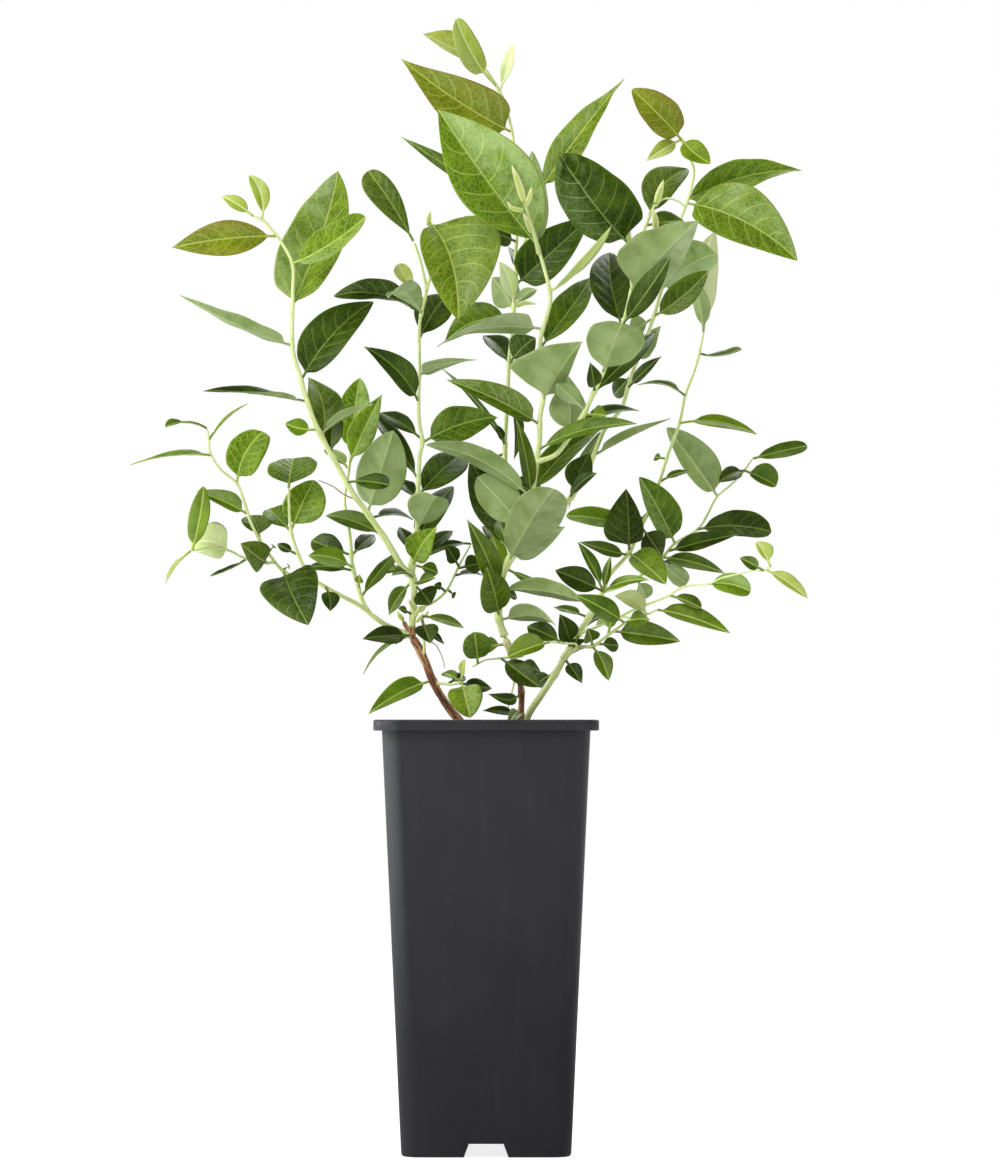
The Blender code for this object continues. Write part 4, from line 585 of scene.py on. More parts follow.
def nearest_seen(route: Array, radii: Array, x: float, z: float) -> Tuple[Array, float]:
    """Point of a route that looks nearest to x, z (mm) from the front.

    Args:
        route: Points of the stem's middle line.
        radii: Stem radius at each point.
        x: Place to the right in the front view, in mm.
        z: Height in the front view, in mm.

    Returns:
        The point and the stem's radius there.
    """
    fine = resampled(np.column_stack([route, radii]), FINENESS * len(route))
    ray = fine[:, :3] - EYE
    seen = EYE + ray * (-EYE[1] / ray[:, 1])[:, None]
    at = int(np.argmin(np.hypot(seen[:, 0] - x * MM,
                                seen[:, 2] - (z - TABLE_FLOOR) * MM)))
    return fine[at, :3], float(fine[at, 3])


def smoothstep(low: float, high: float, value: Array) -> Array:
    """Rise from 0 at low to 1 at high with level ends: 3s^2 - 2s^3."""
    s = np.clip((value - low) / (high - low), 0.0, 1.0)
    return s * s * (3.0 - 2.0 * s)


@dataclass
class Leaf:
    """One leaf: where it sits on its stem, where it points, and how it is turned."""

    FOLD = math.radians(18)
    ARCH = 0.07
    PETIOLE = 0.003
    RISE = 0.7
    FALL = 0.85
    SOLID_COUNT = 45

    stem: str
    index: int
    attach: Tuple[float, float]
    tip_seen: Tuple[float, float]
    depth: float
    width: float
    roll: float
    tone: Tone
    base: Array = field(default_factory=lambda: np.zeros(3))
    tip: Array = field(default_factory=lambda: np.zeros(3))
    radius: float = 0.0

    @classmethod
    def from_row(cls, stem: str, index: int, row: Sequence) -> "Leaf":
        """Read a leaf from its table row."""
        return cls(stem, index, (row[0], row[1]), (row[2], row[3]), row[4], row[5] * MM,
                   row[6], Tone(row[7]))

    @property
    def size(self) -> float:
        """Length by width, in square millimetres."""
        span = np.array([self.tip_seen[0] - self.attach[0],
                         self.tip_seen[1] - self.attach[1], self.depth])
        return self.width / MM * float(np.sqrt((span ** 2).sum()))

    @property
    def name(self) -> str:
        """Name of the leaf's own node."""
        return f"leaf_{self.stem}_{self.index:02d}"

    def axes(self) -> Tuple[Array, Array, Array, float]:
        """Unit vectors along the blade, out of its upper face and across it, and its length."""
        along = self.tip - self.base
        length = float(np.linalg.norm(along))
        along = along / length
        front = np.array([0.0, -1.0, 0.0])
        front = front - front.dot(along) * along
        front /= np.linalg.norm(front)
        side = np.cross(front, along)
        if side[2] < 0.0:
            side = -side
        angle = math.radians(self.roll)
        face = math.cos(angle) * front + math.sin(angle) * side
        return along, face, np.cross(along, face), length

    def half_width(self, t: Array) -> Array:
        """Half the blade's width: t^rise (1 - t)^fall, scaled to its largest value."""
        top = self.RISE / (self.RISE + self.FALL)
        peak = top ** self.RISE * (1 - top) ** self.FALL
        inside = np.clip(t, 0, 1)
        return 0.5 * self.width * inside ** self.RISE * (1 - inside) ** self.FALL / peak

    def points(self, t: Array, u: Array, lift: float = 0.0) -> Array:
        """Points of the folded, arched blade.

        A point lies t of the way from base to tip, u of the half width to the
        side, and is raised by the arch 4 t (1 - t), by the fold |u| sin(fold)
        and by lift.

        Args:
            t: Place along the blade, 0 to 1.
            u: Place across the blade, -1 to 1.
            lift: Extra distance out of the upper face, in metres.

        Returns:
            An array of points, one row each.
        """
        along, face, across, length = self.axes()
        half = self.half_width(t)
        rise = self.ARCH * length * 4 * t * (1 - t) + np.abs(u) * half * math.sin(self.FOLD) + lift
        reach = u * half * math.cos(self.FOLD)
        return (self.base + np.multiply.outer(t * length, along)
                + np.multiply.outer(rise, face) + np.multiply.outer(reach, across))


class Arrangement:
    """Places all leaves on their stems so that none cuts another."""

    STEP = 0.012
    FOOT = 0.1901
    CLEARANCE = 0.0009
    SKIN_ROWS = 9
    SKIN_START = 0.4
    SIDES, SWELL, MARGIN = 6, 1.15, 0.0004
    SWING = 3                            # step of a tip's swing in depth, in mm
    SWINGS = 14
    TURNS = (0, -9, 9, -18, 18)          # degrees

    def __init__(self, stems: Dict[str, StemPlan], rows: Dict[str, Sequence]) -> None:
        """Lay out the coarse stem routes and read the leaves."""
        self.routes: Dict[str, Array] = {}
        self.radii: Dict[str, Array] = {}
        for name, stem in stems.items():
            points = [in_space(*point) for point in stem.points]
            if stem.parent is None:
                points[0][2] = self.FOOT
            self.routes[name] = smooth_route(points, self.STEP)
            self.radii[name] = np.linspace(stem.start_radius * MM, stem.end_radius * MM,
                                           len(self.routes[name]))
        self.leaves = [Leaf.from_row(name, index, row) for name, group in rows.items()
                       for index, row in enumerate(group, 1)]
        self.stuck: List[Leaf] = []

    def leaf_skin(self, leaf: Leaf) -> Skin:
        """Skin at the clearance distance on both sides of a blade."""
        start = min(self.SKIN_START, (leaf.radius + Leaf.PETIOLE) / leaf.axes()[3])
        t = np.repeat(np.linspace(start, 1.0, self.SKIN_ROWS), 3)
        u = np.tile([-1.0, 0.0, 1.0], self.SKIN_ROWS)
        points = np.concatenate([leaf.points(t, u, lift)
                                 for lift in (self.CLEARANCE, -self.CLEARANCE)])
        upper, lower = np.arange(len(points)).reshape(2, self.SKIN_ROWS, 3)
        edges = [np.stack([upper[:, k], lower[:, k]], 1) for k in (0, 2)]
        grids = [upper, lower, *edges, np.stack([upper[0], lower[0]])]
        faces = np.concatenate([cells(grid).reshape(-1, 4) for grid in grids])
        return self._skin(points, faces)

    @staticmethod
    def stem_skin(route: Array, radii: Array) -> Skin:
        """Six-sided skin a little outside a stem, open at its ends."""
        sides = Arrangement.SIDES
        angle = np.arange(sides) * 2 * math.pi / sides
        ways = round_ways(angle, *cross_frames(route, (0.0, 1.0, 0.0)))
        reach = radii[:, None, None] * Arrangement.SWELL + Arrangement.MARGIN
        points = (route[:, None] + ways * reach).reshape(-1, 3)
        index = np.arange(len(points)).reshape(-1, sides)
        return Arrangement._skin(points, band(index[:-1], index[1:]).reshape(-1, 4))

    @staticmethod
    def _skin(points: Array, faces: Array) -> Skin:
        """Search tree of a skin, with the corners of its box."""
        return BVHTree.FromPolygons(points.tolist(), faces.tolist()), points.min(0), points.max(0)

    @staticmethod
    def crossings(shape: Skin, others: Iterable[Skin]) -> int:
        """Number of the other skins that a skin cuts."""
        tree, low, high = shape
        return sum(1 for other, o_low, o_high in others
                   if (low < o_high).all() and (o_low < high).all() and tree.overlap(other))

    def settle(self) -> List[Leaf]:
        """Swing each leaf in depth, and turn it a little, until it clears the rest.

        The largest leaves are placed first.  The place of each tip in the front
        view doesn't change.

        Returns:
            All leaves, with their true base and tip.
        """
        placed = [self.stem_skin(self.routes[name], self.radii[name]) for name in self.routes]
        swings = sorted(((self.SWING * k, turn) for k in range(-self.SWINGS, self.SWINGS + 1)
                         for turn in self.TURNS),
                        key=lambda pair: (abs(pair[0]) / self.SWING + abs(pair[1]) / 6, pair))
        for leaf in sorted(self.leaves, key=lambda item: -item.size):
            leaf.base, leaf.radius = nearest_seen(self.routes[leaf.stem], self.radii[leaf.stem],
                                                  *leaf.attach)
            level, roll = leaf.base[1] / MM + leaf.depth, leaf.roll
            best: Optional[Tuple[int, Array, float, Skin]] = None
            for swing, turn in swings:
                leaf.tip = in_space(leaf.tip_seen[0], level + swing, leaf.tip_seen[1])
                leaf.roll = roll + turn
                shape = self.leaf_skin(leaf)
                count = self.crossings(shape, placed)
                if best is None or count < best[0]:
                    best = (count, leaf.tip, leaf.roll, shape)
                if count == 0:
                    break
            _, leaf.tip, leaf.roll, shape = best
            placed.append(shape)
            if best[0]:
                self.stuck.append(leaf)
        return self.leaves

    def solid_leaves(self) -> List[Leaf]:
        """The leaves that are nodes of their own in the frame."""
        stuck = {leaf.name for leaf in self.stuck}
        solid = [leaf for leaf in self.leaves if leaf.name not in stuck]
        return sorted(solid, key=lambda leaf: -leaf.size)[:Leaf.SOLID_COUNT]


class Surface:
    """Gathers grids of points into one mesh, with point and face values."""

    def __init__(self) -> None:
        """Start with no points."""
        self.points: List[Array] = []
        self.faces: List[Tuple[int, ...]] = []
        self.values: Dict[str, List[Array]] = {}
        self.slots: List[int] = []
        self.count = 0

    def add_quads(self, points: Array, quads: Array, slot: int = 0) -> None:
        """Add points, one row each, and the four-sided faces between them."""
        self.faces.extend(map(tuple, (self.count + quads).tolist()))
        self.slots.extend([slot] * len(quads))
        self.points.append(points)
        self.count += len(points)

    def add_tube(self, rings: Array, values: Dict[str, Array], slot: int = 0) -> None:
        """Close a stack of rings into a tube with flat ends.

        Args:
            rings: Points as (rows, around, 3), each ring turning anticlockwise
                as seen from the last row.
            values: Named values as (rows, around, 3).
            slot: Material slot of the faces.
        """
        first = self.count
        index = np.arange(rings[..., 0].size).reshape(rings.shape[:2])
        self.add_quads(rings.reshape(-1, 3), band(index[:-1], index[1:]).reshape(-1, 4), slot)
        self.faces += [tuple((first + end).tolist()) for end in (index[0, ::-1], index[-1])]
        self.slots += [slot, slot]
        for name, value in values.items():
            self.values.setdefault(name, []).append(value.reshape(-1, 3))

    def make(self, name: str, materials: Sequence[Material],
             smooth_angle: float = 180.0) -> Object:
        """Make the object from what was gathered.

        Args:
            name: Name of the object and its mesh.
            materials: One material per slot.
            smooth_angle: Edges sharper than this many degrees stay sharp.

        Returns:
            The new object, already linked to the scene.
        """
        mesh = bpy.data.meshes.new(name)
        mesh.from_pydata(np.concatenate(self.points).tolist(), [], self.faces)
        for key, parts in self.values.items():
            layer = mesh.attributes.new(key, "FLOAT_VECTOR", "POINT")
            layer.data.foreach_set("vector", np.concatenate(parts).astype(np.float32).ravel())
        mesh.polygons.foreach_set("material_index", np.array(self.slots, np.int32))
        for material in materials:
            mesh.materials.append(material)
        mesh.shade_smooth()
        if smooth_angle < 180.0:
            mesh.set_sharp_from_angle(angle=math.radians(smooth_angle))
        mesh.update()
        item = bpy.data.objects.new(name, mesh)
        bpy.context.scene.collection.objects.link(item)
        return item


def wave_noise(points: Array, scale: float, seed: int, octaves: int = 3) -> Array:
    """Smooth repeatable noise: a sum of sine waves in random directions.

    Args:
        points: Points as (..., 3).
        scale: Waves per metre of the coarsest octave.
        seed: Which noise.
        octaves: Number of scales, each twice as fine and half as strong.

    Returns:
        Values of about -1 to 1.
    """
    rng = np.random.default_rng(seed)
    total = np.zeros(points.shape[:-1])
    for octave in range(octaves):
        directions = rng.normal(size=(WAVES, 3))
        directions /= np.linalg.norm(directions, axis=1)[:, None]
        phases = rng.uniform(0, 2 * math.pi, WAVES)
        waves = np.sin(points @ directions.T * (2 * math.pi * scale * 2 ** octave) + phases)
        total += waves.mean(-1) * 1.6 * 0.5 ** octave
    return total


@dataclass(frozen=True)
class BladeDetail:
    """How finely a leaf is made."""

    rows: int
    columns: int
    veins: int


@dataclass(frozen=True)
class LeafForm:
    """Outline and relief of one blade.

    The half width is t^rise (1 - t)^fall, scaled to its largest value.  A
    positive bend bows the midrib to the right of someone who looks along the
    leaf from its base, onto its upper face.  A positive slant starts that
    right-hand half sooner than the left.  Fold and twist are degrees.  A
    positive sheen paints that right-hand half paler, a painted sheen that stands
    in for light reflected off it; a negative one paints the left half.
    """

    rise: float = 0.7
    fall: float = 1.0
    bend: float = 0.0
    arch: float = 0.07
    fold: float = 18.0
    twist: float = 0.0
    hook: float = 0.0
    right: float = 1.0
    left: float = 1.0
    wave: float = 0.035
    puff: float = 0.055
    crumple: float = 0.0
    stalk: float = 1.0
    slant: float = 0.0
    # painted sheen: a paler half that stands in for reflected light
    sheen: float = 0.0

    @classmethod
    def scattered(cls, seed: int) -> "LeafForm":
        """A form of its own for a leaf that isn't listed."""
        rng = np.random.default_rng(seed)
        return cls(rise=rng.uniform(0.62, 0.85), fall=rng.uniform(0.85, 1.15),
                   bend=rng.uniform(-0.05, 0.05), arch=rng.uniform(0.04, 0.1),
                   fold=rng.uniform(12.0, 24.0), twist=rng.uniform(-12.0, 12.0),
                   hook=rng.uniform(-0.03, 0.05), wave=rng.uniform(0.02, 0.06),
                   sheen=rng.uniform(-0.7, 0.7))


class LeafSculptor:
    """Makes closed leaf shells: petiole, folded blade, veins and wavy margin."""

    LARGE = BladeDetail(rows=60, columns=15, veins=7)
    SMALL = BladeDetail(rows=24, columns=7, veins=5)
    PETIOLE_RADIUS = 0.00065
    MARGIN = 0.00012
    THICKNESS = 0.00017
    MIDRIB, MIDRIB_REACH = 0.0005, 0.0007
    GROOVE = 0.35
    QUILT, QUILT_WIDTH = 0.00022, 0.022
    SOFT_FOLD = 0.012
    END = 0.9995
    CRUMPLE_SCALE = 90.0
    PLAIN_WIDTHS = (0.009, 0.019)

    def __init__(self, detail: BladeDetail) -> None:
        """Prepare the cross-section that all leaves of this detail share."""
        self.detail = detail
        upper = np.linspace(-1.0, 1.0, detail.columns * 2 + 1)
        lower = upper[::-1][1:-1]
        self.across = np.concatenate([upper, lower])
        self.side = np.concatenate([np.ones_like(upper), -np.ones_like(lower)])
        self.side[[0, len(upper) - 1]] = 0.0

    def vein_depth(self, t: Array, u: Array, shift: float) -> Array:
        """Strength (0 to 1) of the side veins.

        Veins leave the midrib at equal steps and bend toward the tip, so vein
        number is veins * (t - 0.2 |u|^1.4), alternating from side to side.
        """
        phase = (t - 0.2 * np.abs(u) ** 1.4) * self.detail.veins + np.where(u > 0, 0.5, 0) + shift
        off = np.abs(phase - np.round(phase))
        fade = smoothstep(0.0, 0.12, t) * smoothstep(1.0, 0.72, np.abs(u))
        return np.exp(-(off / 0.16) ** 2) * fade

    @staticmethod
    def half_width(leaf: Leaf, form: LeafForm, t: Array, u: Array) -> Array:
        """Half the blade's width at each place: t^rise (1 - t)^fall, times each side's share."""
        rise = form.rise * (1 - form.slant * u)
        top = rise / (rise + form.fall)
        peak = top ** rise * (1 - top) ** form.fall
        inside = np.clip(t, 0, 1)
        share = np.where(u > 0, form.right, form.left)
        return 0.5 * leaf.width * share * inside ** rise * (1 - inside) ** form.fall / peak

    def _rows(self, foot: float, start: float) -> Array:
        """Places along the leaf: three on the petiole, then the blade's, closest at its ends."""
        stalk = np.linspace(min(start, foot * 0.7), foot, 4)[:-1]
        spread = np.linspace(0.0, 1.0, self.detail.rows)
        spread = 0.75 * spread + 0.25 * spread ** 2 * (3 - 2 * spread)
        return np.concatenate([stalk, foot + (self.END - foot) * spread])[:, None]

    def _thickness(self, metric: Array, t: Array, blade: Array) -> Array:
        """Half the thickness: a midrib below and a groove above, or a round petiole."""
        rim = np.sqrt(np.clip(1 - self.across ** 2, 0, 1))
        rib = self.MIDRIB * np.exp(-(metric / self.MIDRIB_REACH) ** 2) * (1 - t) ** 0.7
        flat = self.THICKNESS * np.clip(1 - self.across ** 8, 0.0, 1)
        half = flat + np.where(self.side < 0, rib, 0)
        groove = np.where(self.side > 0, self.GROOVE * rib, 0.0)
        return blade * (half - groove) + (1 - blade) * self.PETIOLE_RADIUS * rim

    def _relief(self, leaf: Leaf, form: LeafForm, t: Array, half: Array,
                draws: Sequence[float]) -> Array:
        """Height of the folded, puffed and rippled blade, sunk along its side veins."""
        wave, phase, shift = draws
        u = self.across[None, :]
        bend = np.sqrt(u ** 2 + self.SOFT_FOLD) - math.sqrt(self.SOFT_FOLD)
        bend = bend * math.sin(math.radians(form.fold))
        puff = form.puff * np.sin(math.pi * np.minimum(np.abs(u) * 1.05, 1.0))
        ripple = form.wave * np.abs(u) ** 3 * np.sin(2 * math.pi * (2.3 + wave) * t
                                                     + 3 * phase + u)
        vein = self.vein_depth(t, u, shift * 0.4)
        quilt = -self.QUILT * vein * min(1.0, leaf.width / self.QUILT_WIDTH)
        return half * (bend + puff + ripple) + quilt

    def rings(self, leaf: Leaf, start: float) -> Tuple[Array, Dict[str, Array]]:
        """Rings of points from the petiole's foot to the leaf's tip.

        Args:
            leaf: The leaf.
            start: Distance from the stem's middle line to the petiole's foot.

        Returns:
            Points as (rows, around, 3), and as many blade places (u, t, face),
            metric places (across, along, number), and amounts of painted sheen (a
            paler half that stands in for reflected light) and of plainness, which is
            1 for the smallest leaves.
        """
        along, face, across, length = leaf.axes()
        seed = int(abs(leaf.attach[0] * 37 + leaf.tip_seen[1] * 11)) + 7
        form = FORMS.get(leaf.stem, {}).get(leaf.index) or LeafForm.scattered(seed)
        rng = np.random.default_rng(seed)
        *draws, number = rng.uniform(-1, 1, 4)
        sheen = form.sheen or rng.uniform(-0.7, 0.7)
        foot = (leaf.radius + Leaf.PETIOLE * form.stalk) / length
        t = self._rows(foot, start / length)
        u = self.across[None, :]
        blade = smoothstep(foot * 0.98, foot * 0.98 + 0.05, t)
        half = self.half_width(leaf, form, (t - foot) / (1 - foot), u) * blade
        half = np.maximum(half + self.PETIOLE_RADIUS * (1 - blade) * (t < 0.5), self.MARGIN)
        metric = u * half
        over = blade * self._relief(leaf, form, t, half, draws)
        over = over + self.side[None, :] * self._thickness(metric, t, blade)
        shape = over.shape
        if form.crumple:
            place = layered(shape, metric, t * length, 0.0)
            near = smoothstep(0.45, 0.95, t)
            over = over + form.crumple * near * wave_noise(place, self.CRUMPLE_SCALE, seed, 2)
        reach = metric * (math.cos(math.radians(form.fold)) * blade + (1 - blade))
        turn = math.radians(form.twist) * (t - 0.5) * 2 * blade
        bow = 4 * t * (1 - t)
        lift = over * np.cos(turn) + reach * np.sin(turn)
        lift = lift + form.arch * length * bow - form.hook * length * t ** 3
        reach = reach * np.cos(turn) - over * np.sin(turn) + form.bend * length * bow
        points = (leaf.base + (t * length)[..., None] * along
                  + lift[..., None] * face + reach[..., None] * across)
        # Painted sheen: a paler half that stands in for light reflected off the blade
        pale = abs(sheen) * smoothstep(-0.25, 0.4, u * math.copysign(1.0, sheen))
        plain = 1.0 - smoothstep(*self.PLAIN_WIDTHS, leaf.width)
        values = {"blade": layered(shape, u, t, self.side[None, :]),
                  "metric": layered(shape, metric, t * length, 0.5 + 0.5 * number),
                  "sheen": layered(shape, pale, plain, 0.0)}
        return points, values

    def add(self, surface: Surface, leaf: Leaf, slot: int = 0) -> None:
        """Add one leaf to a surface."""
        points, values = self.rings(leaf, leaf.radius * 0.6)
        surface.add_tube(points[:, ::-1], {name: value[:, ::-1]
                                           for name, value in values.items()}, slot)


# Forms of the leaves that differ from the common one, by stem and number
FORMS: Dict[str, Dict[int, LeafForm]] = {
    "leader_left": {
        2: LeafForm(rise=0.6, fall=0.95, arch=0.1),
        3: LeafForm(rise=0.6, fall=0.7, left=1.1, right=0.95),
        4: LeafForm(rise=0.9, fall=0.4, stalk=1.5),
        6: LeafForm(rise=0.5, fall=1.05, bend=0.08, right=1.15),
        7: LeafForm(rise=0.5, left=0.7, right=0.7),
        8: LeafForm(rise=0.6, left=0.8, right=0.8, arch=0.03, fold=28, twist=34),
        9: LeafForm(bend=-0.12),
        11: LeafForm(rise=0.5, fall=0.85, bend=-0.04, left=1.15, hook=0.03),
        12: LeafForm(rise=0.5, fall=1.1, left=0.8, right=0.8, arch=-0.03, wave=0.06),
        13: LeafForm(rise=0.38, fall=0.95, bend=0.05, left=1.05, right=0.95, fold=24, stalk=0.3,
                     sheen=-0.6),
        14: LeafForm(rise=0.6, fall=0.55, bend=0.08, fold=26, hook=-0.05, wave=0.08),
        15: LeafForm(rise=0.95, fall=1.15, bend=0.02, wave=0.05),
        17: LeafForm(rise=0.75, fall=0.7, bend=0.1),
    },
    "shoot_left_tall": {
        2: LeafForm(rise=0.55, fall=1.05, bend=0.06, right=1.15),
        3: LeafForm(rise=0.2, fall=1.2, left=0.8, right=0.8, stalk=0.2),
        5: LeafForm(rise=0.45, fall=0.8, arch=0.17, fold=30, twist=36),
        6: LeafForm(rise=1.0, fall=0.75, bend=-0.08, stalk=2.5),
        7: LeafForm(rise=0.95, fall=0.5, right=0.72, twist=12, wave=0.05),
        10: LeafForm(rise=0.65, fall=1.05, bend=-0.04, wave=0.05),
        11: LeafForm(rise=0.6, fall=0.65, right=1.3),
        14: LeafForm(rise=0.45, fall=0.45),
        15: LeafForm(rise=0.5, fall=0.8),
    },
    "tip_left_tall": {
        1: LeafForm(rise=0.52, fall=0.74, bend=-0.07, left=1.5, right=0.8, slant=-0.2, hook=0.06,
                    puff=0.1),
    },
    "leader_back": {
        1: LeafForm(left=1.3),
        8: LeafForm(rise=0.6, fall=0.9, bend=0.1, left=0.8, right=1.15, puff=0.1),
        10: LeafForm(rise=0.4, left=1.3),
        15: LeafForm(fall=1.15, bend=-0.07, left=0.8, right=0.8),
        16: LeafForm(rise=0.45, fall=1.25, bend=-0.04, left=1.15, right=1.1, twist=8, wave=0.08),
        17: LeafForm(rise=0.9, fall=1.1, left=0.35, right=0.9, wave=0.1),
        18: LeafForm(rise=0.8, fall=0.9, bend=0.05, twist=25),
        19: LeafForm(rise=0.45, fall=0.45, bend=-0.09, left=1.35, right=0.9, stalk=3.5),
        20: LeafForm(rise=0.5, left=0.7, right=0.7),
    },
    "shoot_centre": {
        1: LeafForm(rise=0.5, arch=0.14),
        2: LeafForm(rise=0.6, fall=0.8, left=1.2),
        7: LeafForm(rise=0.5, fall=0.65, left=1.1, right=0.85, puff=0.07),
        9: LeafForm(rise=0.5, fall=0.5),
        11: LeafForm(rise=0.4, bend=0.05, left=0.4, arch=0.0),
        14: LeafForm(rise=0.5, fall=0.7, left=0.78, right=0.78, arch=0.14),
        16: LeafForm(rise=0.5, fall=0.95, left=0.7, arch=0.1, fold=26),
        17: LeafForm(rise=0.1, left=0.5, right=1.55),
        18: LeafForm(bend=0.04, right=0.85),
        19: LeafForm(rise=0.22, fall=1.5, left=0.75, right=0.85, arch=0.13),
        20: LeafForm(rise=0.6, fall=0.9, bend=0.05, arch=-0.12, twist=20),
        21: LeafForm(rise=0.95, bend=-0.03, right=1.2, fold=26, slant=0.2, wave=0.05, puff=0.08,
                     sheen=0.8),
        22: LeafForm(rise=0.6, fall=0.8, bend=0.04, left=0.8, right=0.8),
    },
    "spur_back": {
        1: LeafForm(rise=0.75, fall=1.15, bend=0.03, twist=38, wave=0.07),
    },
    "spur_right_inner": {
        1: LeafForm(rise=0.42, fall=0.62, bend=-0.055, right=1.15, fold=14, slant=0.3, hook=0.12,
                    wave=0.06, puff=0.12, crumple=0.002),
    },
    "shoot_right_inner": {
        3: LeafForm(arch=0.02),
        4: LeafForm(rise=0.45, fall=0.6, left=1.1, right=0.95, puff=0.08),
        9: LeafForm(rise=0.4, fall=0.75, bend=-0.055, left=1.1),
        10: LeafForm(rise=0.25, right=1.3, wave=0.06),
        11: LeafForm(rise=0.6, fall=0.75, bend=-0.09, left=1.2),
    },
    "leader_right": {
        1: LeafForm(rise=0.5, fall=1.2, left=0.8, right=0.8, arch=0.02, fold=30),
        8: LeafForm(fall=0.8, bend=0.07, right=0.9),
        9: LeafForm(rise=0.6, fall=0.45, bend=0.06, right=1.3, puff=0.12, crumple=0.0014),
        10: LeafForm(rise=0.5, fall=0.9, bend=-0.06, left=1.25, right=1.02, wave=0.05, puff=0.1,
                     sheen=-0.5),
        11: LeafForm(rise=0.4, bend=-0.05, arch=0.04, fold=38, twist=20, stalk=0.3, wave=0.06),
        12: LeafForm(rise=0.45, fall=0.7, right=1.15, wave=0.05),
        14: LeafForm(rise=0.6, fall=0.8, bend=0.1),
    },
    "shoot_right_thin": {
        1: LeafForm(rise=0.6, fall=0.8, bend=0.06),
        3: LeafForm(rise=0.8, fall=0.35, arch=-0.1),
        4: LeafForm(rise=0.35, fall=1.3, arch=0.14),
        5: LeafForm(rise=0.55, fall=0.9, right=1.5, arch=0.1, stalk=2.5),
        9: LeafForm(rise=0.3, left=1.5, right=0.8),
        10: LeafForm(bend=-0.08),
        11: LeafForm(rise=0.5, fall=0.7, left=1.3, right=0.8),
        13: LeafForm(rise=0.5, fall=0.5),
    },
    "shoot_right_outer": {
        1: LeafForm(rise=0.5, fall=0.8, left=0.85, right=1.2),
        3: LeafForm(rise=0.6, fall=0.42, bend=-0.04, left=1.15, right=0.9),
        4: LeafForm(rise=0.5, fall=0.75, left=0.95, right=0.6),
        6: LeafForm(rise=0.5, fall=0.4, bend=-0.04),
        8: LeafForm(rise=0.45, fall=0.38),
        9: LeafForm(rise=0.6, fall=0.45, arch=0.02),
        10: LeafForm(rise=0.45, fall=0.45, left=1.3, right=0.6),
    },
    "shoot_right_low": {
        1: LeafForm(rise=0.6, fall=0.5, left=1.2, right=0.6),
        2: LeafForm(rise=0.55, fall=0.42, bend=-0.06, stalk=0.3),
        4: LeafForm(rise=0.6, fall=0.7, left=0.7, right=1.3),
        5: LeafForm(rise=0.6, fall=0.85, left=1.2, right=0.85),
    },
    "spur_right_low": {
        1: LeafForm(rise=0.6, fall=0.9, left=1.25, right=0.75, arch=0.09),
    },
    "twig_right_front": {
        3: LeafForm(rise=0.5, fall=0.9, left=1.1, right=0.9),
    },
    "twig_left_outer": {
        1: LeafForm(rise=0.3, fall=0.75, bend=0.03, right=0.95, puff=0.08),
        4: LeafForm(rise=0.45, left=0.8, right=1.2),
        5: LeafForm(rise=0.3, fall=0.4, bend=-0.09, right=1.1),
        6: LeafForm(left=0.4, right=1.2),
        7: LeafForm(rise=0.8, fall=0.6, arch=0.14, stalk=4.0),
        8: LeafForm(rise=0.5, fall=1.9, arch=0.06),
    },
    "spur_left_outer": {
        2: LeafForm(fall=0.6, left=0.6, right=0.6, arch=-0.04),
        3: LeafForm(rise=0.25, fall=0.5, bend=0.12, left=0.9, right=1.1, stalk=0.2),
        4: LeafForm(rise=0.5, fall=0.7, bend=0.05),
        5: LeafForm(right=0.6),
    },
    "shoot_left_low": {
        1: LeafForm(rise=0.3, fall=0.7, left=0.95, right=1.2),
        2: LeafForm(rise=0.42, fall=0.75, left=0.9, right=1.3),
    },
    "shoot_left_inner": {
        1: LeafForm(rise=0.6, fall=0.8, bend=0.03, left=0.55),
        7: LeafForm(rise=0.6, fall=0.8),
    },
    "spur_left_foot": {
        1: LeafForm(rise=0.36, fall=0.6, puff=0.08),
    },
    "spur_centre_foot": {
        1: LeafForm(rise=0.5, fall=0.42),
    },
    "spur_right_foot": {
        1: LeafForm(rise=0.5, fall=0.7, left=0.7, right=1.35),
    },
    "cane_left": {
        2: LeafForm(bend=0.1, left=0.5, right=0.5),
        4: LeafForm(rise=0.4, fall=0.95, bend=0.03, left=0.75, right=1.1),
    },
    "cane_right": {
        2: LeafForm(left=0.6),
    },
    "cane_centre": {
        2: LeafForm(bend=-0.2),
    },
}


def linear(colour: Colour) -> Tuple[float, float, float, float]:
    """Linear light values of a colour given as 0 to 255 display values."""
    parts = [value / 255.0 for value in colour]
    return (*[value / 12.92 if value < 0.04045 else ((value + 0.055) / 1.055) ** 2.4
              for value in parts], 1.0)


